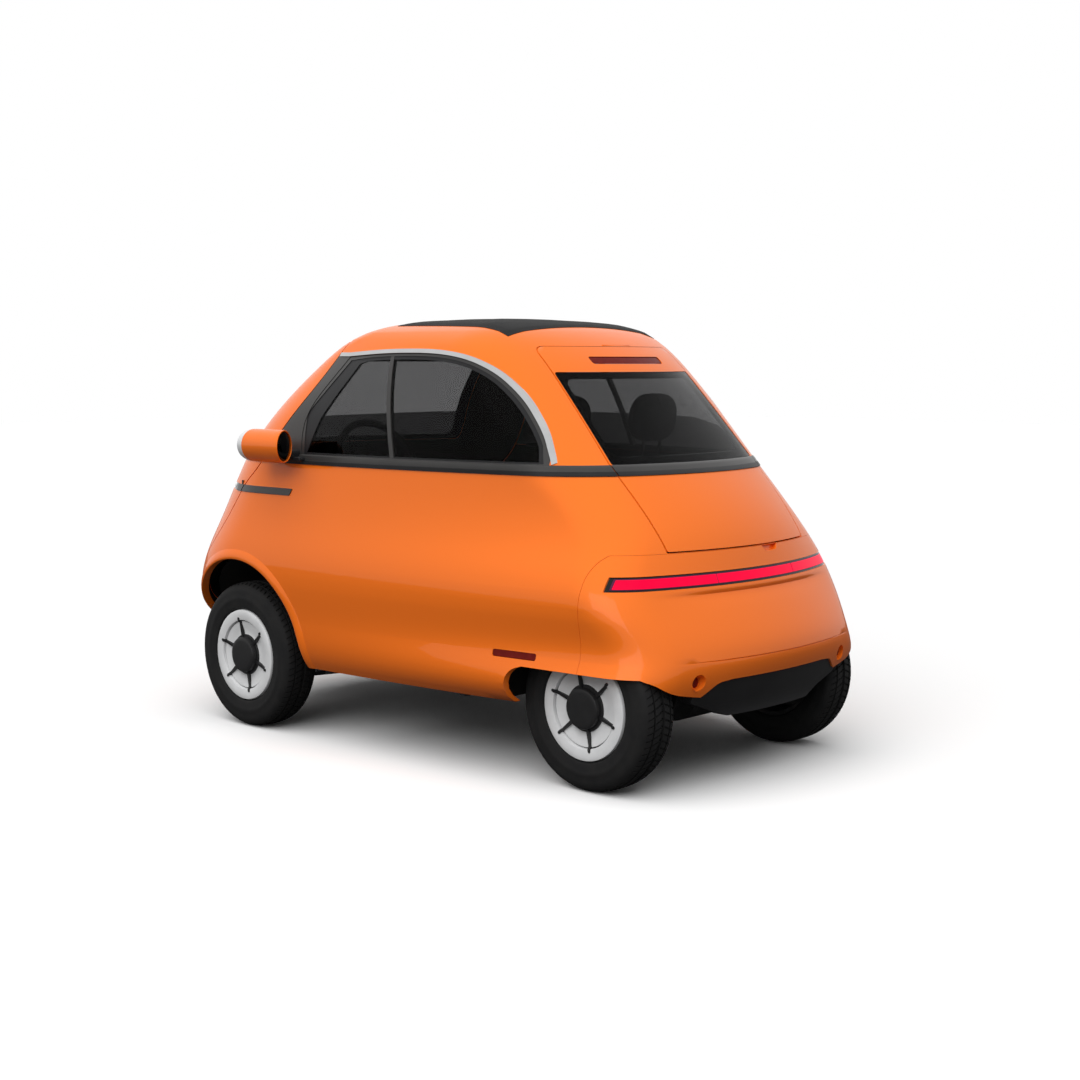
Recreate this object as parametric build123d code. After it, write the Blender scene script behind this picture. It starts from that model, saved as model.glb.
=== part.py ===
from build123d import *
import math
import os

# Two-seat electric microcar: a closed bubble body with one front door, a rear
# hatch, four wheels and a fabric roof panel.
# Millimetres. +X forward, +Y left, +Z up. The origin is on the ground, under
# the middle of the car's length.

# ---- overall sizes -------------------------------------------------------
LENGTH = 2519.0
WIDTH = 1473.0          # over the body, without the mirror pods
HEIGHT = 1501.0
WHEELBASE = 1566.0
REAR_OVERHANG = 375.0   # rear axle to the rear end
SHUT_GAP = 8.0          # between a moving panel and what it closes on
FIT_GAP = 0.3           # between pieces seated on each other
PANEL_GAP = 1.0         # seam between fixed body panels
PIN_FIT = 4.0           # room around a hinge barrel
CUT_HALF = 2000.0       # half size of the large cutting boxes

REAR_END = -LENGTH / 2
FRONT_END = LENGTH / 2
SIDE = WIDTH / 2
CUT_FRONT = LENGTH - REAR_OVERHANG + 260    # past the front end
CUT_REAR = -REAR_OVERHANG - 225             # past the rear end
CUT_SIDE = SIDE + 165                       # past the pods' arms
REAR_AXLE = REAR_END + REAR_OVERHANG
FRONT_AXLE = REAR_AXLE + WHEELBASE

# ---- wheels --------------------------------------------------------------
TYRE_RADIUS = 268.5
TYRE_WIDTH = 145.0
RIM_RADIUS = 168.0      # bead seat of the rim
COVER_INSET = 2.5       # wheel cover behind the tyre's outer wall
FRONT_TRACK_IN = 104.5  # front wheel's middle plane from the body's side
REAR_TRACK_IN = 248.5   # rear wheel's middle plane from the body's side
FRONT_WHEEL_Y = SIDE - FRONT_TRACK_IN
REAR_WHEEL_Y = SIDE - REAR_TRACK_IN
KINGPIN_IN = 56.0       # steering axis inboard of the wheel's middle plane
KINGPIN_Y = FRONT_WHEEL_Y - KINGPIN_IN
HUB_RADIUS = 46.0
SPINDLE_RADIUS = 15.0
PIN_REACH = 6.0         # spindle's end past the wheel's middle plane
FRONT_ARCH_RADIUS = TYRE_RADIUS + 91.5
FRONT_WELL_Y = FRONT_WHEEL_Y - 234      # inner wall of the front wheel wells
REAR_WELL_RADIUS = TYRE_RADIUS + 49.5
REAR_WELL_Y = REAR_WHEEL_Y - TYRE_WIDTH / 2 - 22
LINER_WALL = 6.0
HUB_SLOT_HALF = 60.0    # opening in the rear liners for the axle
TYRE_ROOM = 6.0         # between the rear tyres and the panels over them

# ---- heights -------------------------------------------------------------
SILL_Z = 262.0
BUMPER_SEAM_Z = 420.0
BELT_Z = 1003.0
ROOF_RING_Z = 1462.0    # the fabric panel rests on the ring at this height
FLOOR_THICK = 20.0

# ---- body sections -------------------------------------------------------
# Each section is a closed outline of tangent arcs. Columns: height, inset of
# the rear end, inset of the front end, inset of the side, widest place ahead
# of the rear axle, radii of the rear, front and side, radii of the rear and
# front corners, wall thickness.
SECTIONS = [
    (SILL_Z, 52, 82, 55, 1450, 1500, 1000, 9000, 205, 300, 50),
    (430, 0, 16, 10, 1500, 1450, 1000, 10000, 235, 345, 62),
    (560, 57, 0, 0, 1500, 1400, 980, 10000, 240, 395, 66),
    (680, 115, 32, 10, 1480, 1300, 900, 9000, 240, 445, 66),
    (760, 144, 66, 28, 1450, 1100, 850, 7000, 250, 460, 64),
    (BELT_Z, 341, 242, 74, 1350, 1050, 940, 5500, 365, 400, 58),
    (1200, 526, 430, 130, 1080, 960, 900, 3600, 345, 350, 54),
    (1340, 650, 606, 188, 880, 760, 800, 2200, 310, 240, 52),
    (1420, 758, 745, 240, 880, 760, 750, 2000, 235, 170, 56),
    (ROOF_RING_Z, 900, 915, 308, 870, 870, 700, 1700, 190, 190, 70),
]
# The fabric panel's crown on that last outline: height above it and inset.
CROWN = [(FIT_GAP, 1), (24, 60), (HEIGHT - ROOF_RING_Z, 160)]

# ---- panel outlines seen from the side (ahead of the rear axle, height) ---
BELOW_SILL_Z = SILL_Z - 60     # lower end of the cuts through the lower body
DOOR_EDGE = [
    (1226, 1418), (1240, 1370), (1308, 1236), (1401, 1110), (1500, 975), (1585, 907),
    (1617, 867), (1690, 768), (1760, 690), (1865, 585), (1940, BUMPER_SEAM_Z),
]
BUMPER_EDGE = [(-75, 752), (-52, 728), (-38, 690), (-34, 600), (-34, BELOW_SILL_Z)]
REAR_ARCH = [
    (258, BELOW_SILL_Z), (246, 340), (222, 378), (180, 392), (-235, 388),
    (-275, 370), (-300, 330), (-318, 308), (-450, 300),
]
FRONT_BUMPER_X = 1800.0        # inside the front arch
SIDE_WINDOW = [
    (1352, 1030), (1296, 1130), (1165, 1366), (707, 1377), (560, 1358),
    (440, 1308), (330, 1224), (238, 1120), (196, 1046), (200, 1030),
]
WINDOW_BAR_FOOT = 803.0
WINDOW_BAR_HEAD = 920.0
WINDOW_BAR_WIDTH = 26.0
WINDOW_BAR_Z = (1000.0, 1400.0)
FRAME_WIDTH = 22.0
# ---- panel outlines seen from behind (half width, height) ------------------
HATCH_TOP_Z = 1398.0
HATCH_CUT_FRONT = 760.0
HATCH_HALF = [
    (SIDE - 380.5, 758), (SIDE - 366.5, 1020), (SIDE - 390.5, 1310), (SIDE - 398.5, HATCH_TOP_Z),
]
REAR_GLASS_HALF = [(SIDE - 389.5, 1034), (SIDE - 410.5, 1302)]
WINDSCREEN_HALF = [
    (SIDE - 216.5, 1024), (SIDE - 236.5, 1100), (SIDE - 336.5, 1330), (SIDE - 366.5, 1372),
]
WINDSCREEN_BACK = 1100.0
DIFFUSER_HALF = [(REAR_WHEEL_Y - 288, 363), (REAR_WHEEL_Y - 188, 318), (REAR_WHEEL_Y - 166, SILL_Z)]
DIFFUSER_RUN = (-345.0, -190.0)
DIFFUSER_WALL = 15.0
DIFFUSER_INSET = 4.0

# ---- glass and lights ----------------------------------------------------
GLASS_DEPTH = 6.0
GLASS_THICK = 5.0
LIGHT_BAR_Z = (646.0, 690.0)
LIGHT_BAR_REACH = 100.0      # ends of the rear bar behind the rear axle
LIGHT_BAR_DEPTH = 24.0
FRONT_BAR_Z = (872.0, 898.0)
FRONT_BAR_REACH = 1652.0
BRAKE_LIGHT_Z = (1344.0, 1360.0)
BRAKE_LIGHT_HALF = SIDE - 558.5
FRAME_RISE = 3.0             # window frame in front of the glass
FRAME_DEPTH = 22.0           # and behind the glass's face

MARKER_X = (132.0, 300.0)
MARKER_Z = (414.0, 434.0)
REFLECTOR_BACK = -322.0
REFLECTOR_YZ = (REAR_WHEEL_Y - 121, 368.0)
REFLECTOR_RADIUS = 25.0
REFLECTOR_RIM = 4.0          # pocket's wall around the reflector
REFLECTOR_THICK = 10.0

# ---- mirror pods ----------------------------------------------------------
POD_X = (1205.0, 1452.0)
POD_Y = SIDE + 15.5
POD_Z = 1052.0
POD_RADIUS = 58.0
POD_ARM_Z = (-42.0, -8.0)    # arm's bottom and top from the pod's axis
POD_ARM_INSET = 70.0         # arm's ends from the pod's ends
POD_ARM_ROOT_Y = SIDE - 166.5
HEADLAMP_RIM = 17.0
HEADLAMP_THICK = 16.0
HEADLAMP_SEAT = 14.0         # lamp's seat behind the pod's front
MIRROR_RIM = 13.0
MIRROR_SEAT = 8.0
MIRROR_THICK = 5.0

# ---- cabin ----------------------------------------------------------------
SEAT_X = (510.0, 990.0)
SEAT_HALF = SIDE - 261.5
SEAT_TOP_Z = 560.0
CUSHION_THICK = 130.0
BACK_THICK = 110.0
BACK_TOP_Z = 1020.0
BACK_LEAN = 9.0
SEAT_EDGE_RADIUS = 22.0
HEADREST_Y = SEAT_HALF / 2 - 8
HEADREST_SIZE = (74.0, 250.0, 190.0)
HEADREST_EDGE_RADIUS = 30.0
STALK_RADIUS = 6.0
STALK_HALF_SPAN = 55.0
STALK_LENGTH = 56.0
BOOT_FLOOR_Z = TYRE_RADIUS + REAR_WELL_RADIUS + LINER_WALL + 5.5
BOOT_FLOOR_THICK = 12.0
BOOT_FLOOR_BACK = -230.0
BULKHEAD_X = 340.0           # rear wall of the cabin floor
BULKHEAD_THICK = 10.0
FLOOR_FRONT = 1880.0
BATTERY_MARGIN = (10.0, 30.0)   # battery box inside the seat, front and back, and sides
STEERING_Y = SIDE - 466.5
STEERING_CENTRE = (1290.0, 965.0)
STEERING_TILT = 62.0         # column from the vertical
STEERING_RADIUS = 175.0
STEERING_RIM_RADIUS = 14.0
STEERING_HUB = (52.0, 26.0)      # radius and thickness
STEERING_SPOKE = (34.0, 14.0)    # width and thickness of the level spoke
STEERING_LOW_SPOKE = (30.0, 12.0)
COLUMN_HALF = 26.0
COLUMN_LENGTH = 250.0
PEDAL_X = (1586.0, 1600.0, 1612.0)   # pad's face, pad's back and arm's back
PEDAL_PAD_Y = (-22.0, 36.0)
PEDAL_PAD_Z = (380.0, 440.0)
PEDAL_ARM_WIDTH = 14.0
PEDAL_ARM_TOP_Z = 430.0
PEDAL_FROM_COLUMN = (-140.0, -55.0)
DASH_X = (1650.0, 1800.0)
DASH_Z = (880.0, 925.0)

# ---- hinges ---------------------------------------------------------------
DOOR_HINGE = (1606.0, SIDE - 75)     # upright axis, ahead of the rear axle and left
DOOR_BARREL_Z = (874.5, 897.5)
DOOR_PIN_Z = (835.0, 912.0)
DOOR_PIN_RADIUS = 4.0
DOOR_BARREL_RADIUS = 8.0
DOOR_RELIEF_RADIUS = 34.0
DOOR_RELIEF_DROP = 20.0                # relief below the pin
DOOR_HINGE_ROOM = 6.0                  # above and below the barrel
DOOR_TAB = (60.0, DOOR_BARREL_RADIUS + 16, 2.0)    # reach, inner and outer edge from the axis
HATCH_HINGE = (358.0, 1402.0)          # axis across the car
HATCH_BARREL_HALF = 45.0
HATCH_PIN_HALF = 70.0
HATCH_PIN_RADIUS = 2.8
HATCH_BARREL_RADIUS = 5.0
HATCH_TAB = (14.0, 22.0)               # reach ahead of and below the axis
HATCH_RELIEF = 9.0                     # room in the hatch around its own barrel
HATCH_ROOF_ROOM = 5.5                  # room in the roof around that barrel
HATCH_END_ROOM = 6.0                   # past the barrel's and the pin's ends
HATCH_LUG_WIDTH = 14.0
HATCH_LUG_X = (-3.0, 8.0, 34.0)        # rear end, step and front end from the axis
HATCH_LUG_Z = (-4.0, 6.0, 14.0)        # underside, step and top from the axis

# ---- running gear ---------------------------------------------------------
MOTOR_RADIUS = 105.0
MOTOR_Y = (-180.0, 120.0)
MOTOR_MOUNT_X = (60.0, 310.0)
MOTOR_MOUNT_HALF = (40.0, 20.0)      # half width and half height
REAR_ARM_BACK = -28.0
REAR_ARM_IN = 60.0                   # arm inboard of the wheel well
REAR_ARM_Y = (-18.0, 22.0)
REAR_ARM_Z = (-28.0, 22.0)
REAR_STUB_RADIUS = SPINDLE_RADIUS + 12
REAR_STUB_IN = 54.0
CROSS_TUBE_X = 300.0
CROSS_TUBE_RADIUS = 22.0
CROSS_TUBE_DROP = 3.0
SUBFRAME_HALF = FRONT_WELL_Y - 188
SUBFRAME_X = (-150.0, 120.0)         # from the front axle
SUBFRAME_DROP = 112.0                # underside below the axle
ARM_Z = (TYRE_RADIUS - 108, TYRE_RADIUS - 92)
ARM_ROOT_X = (-130.0, 100.0)
ARM_TIP_HALF = 22.0
ARM_OVERLAP = 6.0
STUD_IN = 4.0                        # ball stud inboard of the steering axis
STUD_RADIUS = 9.0
STUD_RISE = 8.0
UPRIGHT_HALF = 24.0
UPRIGHT_Y = (-22.0, 14.0)
UPRIGHT_TOP = 95.0
KNUCKLE_STUB = (SPINDLE_RADIUS + 13, 26.0)   # radius and reach
STEER_ARM_REACH = 128.0
STEER_ARM_Y = (-22.0, -8.0)
STEER_ARM_Z = (-40.0, -26.0)
TOW_EYE_YZ = (SUBFRAME_HALF - 70, 212.0)
TOW_EYE_RADIUS = 8.0
TOW_EYE_DEPTH = 40.0
JACK_PAD_X = (480.0, 1120.0)
JACK_PAD_RADIUS = 20.0
JACK_PAD_THICK = 8.0


def ax(distance):
    """X of a place given ahead of the rear axle."""
    return REAR_AXLE + distance


def circle_meet(c1, r1, c2, r2, front):
    """The meeting point of two circles that lies on the left, front or rear."""
    dx, dy = c2[0] - c1[0], c2[1] - c1[1]
    d = math.hypot(dx, dy)
    along = (r1 * r1 - r2 * r2 + d * d) / (2 * d)
    across = math.sqrt(r1 * r1 - along * along)
    mx, my = c1[0] + dx * along / d, c1[1] + dy * along / d
    ends = [(mx - dy * across / d * s, my + dx * across / d * s) for s in (1, -1)]
    lean = 0.5 if front else -0.5
    return max(ends, key=lambda p: p[1] + lean * p[0])


def arc_between(centre, radius, start, end):
    """Arc about a centre between two places on it, the short way round."""
    a0 = math.atan2(start[1] - centre[1], start[0] - centre[0])
    a1 = math.atan2(end[1] - centre[1], end[0] - centre[0])
    turn = (a1 - a0 + math.pi) % (2 * math.pi) - math.pi
    mid = a0 + turn / 2
    middle = (centre[0] + radius * math.cos(mid), centre[1] + radius * math.sin(mid))
    return start, middle, end


def outline(section, inset):
    """A body section as a closed wire, drawn in by an inset."""
    z, rear_in, front_in, side_in, widest, r_rear, r_front, r_side, c_rear, c_front = section[:10]
    rear_c = (REAR_END + rear_in + r_rear, 0.0)
    front_c = (FRONT_END - front_in - r_front, 0.0)
    side_c = (ax(widest), SIDE - side_in - r_side)
    corner_r = circle_meet(side_c, r_side - c_rear, rear_c, r_rear - c_rear, False)
    corner_f = circle_meet(side_c, r_side - c_front, front_c, r_front - c_front, True)

    def touch(centre, radius, corner):
        dx, dy = corner[0] - centre[0], corner[1] - centre[1]
        d = math.hypot(dx, dy)
        reach = radius - inset
        return centre[0] + dx / d * reach, centre[1] + dy / d * reach

    rear_mid = (rear_c[0] - r_rear + inset, 0.0)
    front_mid = (front_c[0] + r_front - inset, 0.0)
    rear_end = touch(rear_c, r_rear, corner_r)
    side_rear = touch(side_c, r_side, corner_r)
    side_front = touch(side_c, r_side, corner_f)
    front_end = touch(front_c, r_front, corner_f)
    left = [
        arc_between(rear_c, r_rear - inset, rear_mid, rear_end),
        arc_between(corner_r, c_rear - inset, rear_end, side_rear),
        arc_between(side_c, r_side - inset, side_rear, side_front),
        arc_between(corner_f, c_front - inset, side_front, front_end),
        arc_between(front_c, r_front - inset, front_end, front_mid),
    ]
    right = [tuple((x, -y) for x, y in reversed(piece)) for piece in reversed(left)]
    arcs = [ThreePointArc(*[(x, y, z) for x, y in piece]) for piece in left + right]
    return Wire(arcs)


def loft_body(inset=0.0, wall=False):
    """The closed body form, drawn in by an inset or by the wall's thickness."""
    return Solid.make_loft(
        [outline(s, inset + (s[10] if wall else 0.0)) for s in SECTIONS]
    )


def side_prism(points, grow=0.0, half=CUT_SIDE):
    """A side-view outline run across the car; grow widens it all round."""
    face = make_face(Polyline(*[(ax(x), z) for x, z in points], close=True))
    if grow:
        face = offset(face, grow, kind=Kind.INTERSECTION)
    return extrude(Plane.XZ * face, half, both=True)


def rear_prism(half_points, x_from, x_to, grow=0.0):
    """A symmetric rear-view outline run along the car between two places."""
    points = half_points + [(-y, z) for y, z in reversed(half_points)]
    face = make_face(Polyline(*points, close=True))
    if grow:
        face = offset(face, grow, kind=Kind.INTERSECTION)
    return Plane(origin=(ax(x_from), 0, 0), x_dir=(0, 1, 0), z_dir=(1, 0, 0)) * extrude(
        face, x_to - x_from
    )


FULL_X = (-CUT_HALF, CUT_HALF)
FULL_Y = (-CUT_SIDE, CUT_SIDE)
FULL_Z = (0.0, CUT_HALF)
LEFT_Y = (0.0, CUT_SIDE)


def box_between(x, y, z):
    """A box from its low and high places on each axis."""
    lengths = [v[1] - v[0] for v in (x, y, z)]
    return Pos(*[(v[0] + v[1]) / 2 for v in (x, y, z)]) * Box(*lengths)


def y_cylinder(x, z, radius, y_from, y_to):
    """A cylinder across the car."""
    low, high = min(y_from, y_to), max(y_from, y_to)
    return Plane(origin=(x, low, z), x_dir=(1, 0, 0), z_dir=(0, 1, 0)) * Cylinder(
        radius, high - low, align=(Align.CENTER, Align.CENTER, Align.MIN)
    )


def mirror_y(shape):
    """The same piece on the other side of the car."""
    return mirror(shape, about=Plane.XZ)


def both_sides(shape):
    """A left piece and its right twin."""
    return [shape, mirror_y(shape)]


# ---- body form ------------------------------------------------------------
outer = loft_body()
inner = loft_body(wall=True)
shell = outer - inner
lining = loft_body(inset=FIT_GAP, wall=True)
light_core = loft_body(inset=LIGHT_BAR_DEPTH)
light_back = loft_body(inset=LIGHT_BAR_DEPTH - FIT_GAP)
glass_face = loft_body(inset=GLASS_DEPTH)
glass_back = loft_body(inset=GLASS_DEPTH + GLASS_THICK)
glass_skin = glass_face - glass_back

door_region = DOOR_EDGE + [(CUT_FRONT, BUMPER_SEAM_Z), (CUT_FRONT, DOOR_EDGE[0][1])]
bumper_region = (
    [(CUT_REAR, BUMPER_EDGE[0][1])] + BUMPER_EDGE + [(CUT_REAR, BELOW_SILL_Z)]
)
front_bumper_top = BUMPER_SEAM_Z - SHUT_GAP
front_bumper_region = [
    (FRONT_BUMPER_X, front_bumper_top), (FRONT_BUMPER_X, BELOW_SILL_Z),
    (CUT_FRONT, BELOW_SILL_Z), (CUT_FRONT, front_bumper_top),
]
arch_cut = REAR_ARCH + [(CUT_REAR, REAR_ARCH[-1][1]), (CUT_REAR, BELOW_SILL_Z)]
window_full = side_prism(SIDE_WINDOW)

def turned(profile, x, y, side, grow=0.0):
    """A profile of (outward distance, radius) turned about a wheel's axle."""
    points = [(r, side * w) for w, r in profile]
    face = make_face(Polyline(*points, close=True))
    if grow:
        face = offset(face, grow, kind=Kind.INTERSECTION)
    return Pos(x, y, TYRE_RADIUS) * revolve(face, Axis.Y)


def tyre(x, y, side, grow=0.0):
    """A tyre, or with grow the room it needs round it."""
    w = TYRE_WIDTH / 2
    profile = [
        (-w + 14, RIM_RADIUS + FIT_GAP), (-w, RIM_RADIUS + 22), (-w, TYRE_RADIUS - 38),
        (-w + 6, TYRE_RADIUS - 14), (-w + 20, TYRE_RADIUS - 3), (-w + 44, TYRE_RADIUS),
        (w - 44, TYRE_RADIUS), (w - 20, TYRE_RADIUS - 3), (w - 6, TYRE_RADIUS - 14),
        (w, TYRE_RADIUS - 38), (w, RIM_RADIUS + 22), (w - 14, RIM_RADIUS + FIT_GAP),
    ]
    return turned(profile, x, y, side, grow)


# ---- wheel wells ----------------------------------------------------------
front_well = y_cylinder(FRONT_AXLE, TYRE_RADIUS, FRONT_ARCH_RADIUS, FRONT_WELL_Y, CUT_SIDE)
front_well_out = y_cylinder(
    FRONT_AXLE, TYRE_RADIUS, FRONT_ARCH_RADIUS + LINER_WALL, FRONT_WELL_Y - LINER_WALL, CUT_SIDE
)
rear_well = y_cylinder(REAR_AXLE, TYRE_RADIUS, REAR_WELL_RADIUS, REAR_WELL_Y, CUT_SIDE)
rear_well_out = y_cylinder(
    REAR_AXLE, TYRE_RADIUS, REAR_WELL_RADIUS + LINER_WALL, REAR_WELL_Y - LINER_WALL, CUT_SIDE
)
above_sill = box_between(FULL_X, FULL_Y, (SILL_Z, CUT_HALF))
front_liner = (front_well_out - front_well) & lining & above_sill
hub_slot = box_between(
    (REAR_AXLE - HUB_SLOT_HALF, REAR_AXLE + HUB_SLOT_HALF),
    (REAR_WELL_Y - HUB_SLOT_HALF, REAR_WELL_Y + 10), (0, TYRE_RADIUS + HUB_SLOT_HALF),
)
rear_liner = ((rear_well_out - rear_well) & lining & above_sill) - hub_slot
front_arches = both_sides(front_well)
rear_arch_cut = side_prism(arch_cut)
cover_room = y_cylinder(
    REAR_AXLE, TYRE_RADIUS, RIM_RADIUS + 2 * TYRE_ROOM,
    REAR_WELL_Y, REAR_WHEEL_Y + TYRE_WIDTH / 2 + TYRE_ROOM,
)
tyre_room = both_sides(tyre(REAR_AXLE, REAR_WHEEL_Y, 1, grow=TYRE_ROOM) + cover_room)

# ---- panels ---------------------------------------------------------------
door_cut = side_prism(door_region, SHUT_GAP)
hatch_solid = rear_prism(HATCH_HALF, CUT_REAR, HATCH_CUT_FRONT)
hatch_cut = rear_prism(HATCH_HALF, CUT_REAR, HATCH_CUT_FRONT, SHUT_GAP)
lower = box_between(FULL_X, FULL_Y, (0, BELT_Z))
body = shell - door_cut - hatch_cut - front_arches - rear_arch_cut - tyre_room

rear_bumper = body & side_prism(bumper_region)
rear_bumper -= rear_prism(
    DIFFUSER_HALF + [(DIFFUSER_HALF[-1][0], BELOW_SILL_Z)], CUT_REAR, 100
)
front_bumper = (shell & side_prism(front_bumper_region)) - front_arches
side_body = body & lower
side_body -= side_prism(bumper_region, PANEL_GAP)
side_body -= side_prism(front_bumper_region, PANEL_GAP)
left_side_panel = side_body & box_between(FULL_X, LEFT_Y, FULL_Z)
right_side_panel = mirror_y(left_side_panel)
upper = box_between(FULL_X, FULL_Y, (BELT_Z + FIT_GAP, CUT_HALF))
roof_shell = (body & upper) - window_full

# ---- light bars -----------------------------------------------------------
def bar_region(z, x_from, x_to, gap):
    return box_between((x_from + gap, x_to - gap), FULL_Y, (z[0] + gap, z[1] - gap))


light_skin = outer - light_core
bar_skin = outer - light_back
rear_bar_box = (LIGHT_BAR_Z, -CUT_HALF, ax(-LIGHT_BAR_REACH))
rear_bumper -= light_skin & bar_region(*rear_bar_box, 0)
rear_light_bar = bar_skin & bar_region(*rear_bar_box, FIT_GAP)

# ---- front door -----------------------------------------------------------
door_shell = (shell & side_prism(door_region)) - front_arches
post_x, post_y = ax(DOOR_HINGE[0]), DOOR_HINGE[1]


def door_hinge(radius, z_from, z_to):
    return Pos(post_x, post_y, z_from) * Cylinder(
        radius, z_to - z_from, align=(Align.CENTER, Align.CENTER, Align.MIN)
    )


door_pin = door_hinge(DOOR_PIN_RADIUS, *DOOR_PIN_Z)
pin_room = door_hinge(
    DOOR_BARREL_RADIUS + PIN_FIT, DOOR_BARREL_Z[0] - DOOR_HINGE_ROOM, DOOR_PIN_Z[1] + DOOR_HINGE_ROOM
)
door_tab = box_between(
    (post_x, post_x + DOOR_TAB[0]), (post_y - DOOR_TAB[1], post_y - DOOR_TAB[2]), DOOR_BARREL_Z
)
door_shell -= pin_room
door_shell -= door_hinge(
    DOOR_RELIEF_RADIUS, DOOR_PIN_Z[0] - DOOR_RELIEF_DROP, DOOR_BARREL_Z[0]
)
door_shell += (
    door_hinge(DOOR_BARREL_RADIUS, *DOOR_BARREL_Z) + (door_tab & outer)
    - door_hinge(DOOR_PIN_RADIUS + FIT_GAP, DOOR_BARREL_Z[0] - 1, DOOR_BARREL_Z[1] + 1)
)
left_side_panel -= pin_room + door_hinge(
    DOOR_PIN_RADIUS + FIT_GAP, DOOR_PIN_Z[0] - FIT_GAP, DOOR_BARREL_Z[0]
)
windscreen_cut = rear_prism(WINDSCREEN_HALF, WINDSCREEN_BACK, CUT_FRONT)
door_shell -= windscreen_cut
front_bar_box = (FRONT_BAR_Z, ax(FRONT_BAR_REACH), CUT_HALF)
door_shell -= light_skin & bar_region(*front_bar_box, 0)
front_light_bar = bar_skin & bar_region(*front_bar_box, FIT_GAP)
windscreen = glass_skin & rear_prism(
    WINDSCREEN_HALF, WINDSCREEN_BACK, CUT_FRONT, -FIT_GAP
)

# ---- hatch ----------------------------------------------------------------
hatch_limit = box_between((-CUT_HALF, ax(HATCH_CUT_FRONT)), FULL_Y, (0, HATCH_TOP_Z))
hatch_shell = shell & hatch_solid & hatch_limit
hinge_x, hinge_z = ax(HATCH_HINGE[0]), HATCH_HINGE[1]


def hatch_hinge(radius, half):
    return y_cylinder(hinge_x, hinge_z, radius, -half, half)


hatch_tab = box_between(
    (hinge_x, hinge_x + HATCH_TAB[0]), (-HATCH_BARREL_HALF, HATCH_BARREL_HALF),
    (hinge_z - HATCH_TAB[1], hinge_z),
)
hatch_shell -= hatch_hinge(HATCH_BARREL_RADIUS + HATCH_RELIEF, HATCH_PIN_HALF + HATCH_END_ROOM)
hatch_shell += (
    hatch_hinge(HATCH_BARREL_RADIUS, HATCH_BARREL_HALF) + hatch_tab
    - hatch_hinge(HATCH_PIN_RADIUS + FIT_GAP, HATCH_BARREL_HALF + 1)
)
lug_y = (HATCH_PIN_HALF - HATCH_LUG_WIDTH, HATCH_PIN_HALF)
lug_x = [hinge_x + x for x in HATCH_LUG_X]
lug_z = [hinge_z + z for z in HATCH_LUG_Z]
roof_lug = box_between((lug_x[0], lug_x[1]), lug_y, (lug_z[0], lug_z[2]))
roof_lug += box_between((hinge_x, lug_x[2]), lug_y, (lug_z[1], lug_z[2]))
roof_lug -= hatch_hinge(HATCH_PIN_RADIUS + FIT_GAP, HATCH_PIN_HALF + 1)
roof_shell -= hatch_hinge(HATCH_BARREL_RADIUS + HATCH_ROOF_ROOM, HATCH_BARREL_HALF + HATCH_END_ROOM)
roof_shell += both_sides(roof_lug & outer)
hatch_hinge_pin = hatch_hinge(HATCH_PIN_RADIUS, HATCH_PIN_HALF)
rear_glass_cut = rear_prism(REAR_GLASS_HALF, CUT_REAR, HATCH_CUT_FRONT)
hatch_shell -= rear_glass_cut
rear_window = glass_skin & rear_prism(REAR_GLASS_HALF, CUT_REAR, HATCH_CUT_FRONT, -FIT_GAP)
rear_half = (-CUT_HALF, ax(500))
brake_box = box_between(rear_half, (-BRAKE_LIGHT_HALF, BRAKE_LIGHT_HALF), BRAKE_LIGHT_Z)
hatch_shell -= (outer - glass_face) & brake_box
third_brake_light = (outer - loft_body(inset=GLASS_DEPTH - FIT_GAP)) & box_between(
    rear_half,
    (-BRAKE_LIGHT_HALF + FIT_GAP, BRAKE_LIGHT_HALF - FIT_GAP),
    (BRAKE_LIGHT_Z[0] + FIT_GAP, BRAKE_LIGHT_Z[1] - FIT_GAP),
)

# ---- side windows ---------------------------------------------------------
window_seat = side_prism(SIDE_WINDOW, -FIT_GAP)
window_inside = side_prism(SIDE_WINDOW, -FRAME_WIDTH)
half_bar = WINDOW_BAR_WIDTH / 2


def bar_outline(half):
    """The upright bar of the side window, from below the window to above it."""
    foot, head = WINDOW_BAR_FOOT, WINDOW_BAR_HEAD
    low, high = WINDOW_BAR_Z
    return [(foot - half, low), (foot + half, low), (head + half, high), (head - half, high)]


window_bar = side_prism(bar_outline(half_bar))
frame_skin = loft_body(inset=GLASS_DEPTH - FRAME_RISE) - loft_body(inset=GLASS_DEPTH + FRAME_DEPTH)
left_half = box_between(FULL_X, LEFT_Y, FULL_Z)
left_frame = frame_skin & (window_seat - window_inside + (window_seat & window_bar)) & left_half
pane_area = side_prism(SIDE_WINDOW, -FRAME_WIDTH - FIT_GAP) - side_prism(
    bar_outline(half_bar + FIT_GAP)
)
left_panes = glass_skin & pane_area & left_half

# ---- fabric roof ----------------------------------------------------------
roof_ring = SECTIONS[-1]
soft_top = Solid.make_loft(
    [outline((ROOF_RING_Z + rise,) + roof_ring[1:], inset) for rise, inset in CROWN]
)

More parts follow.
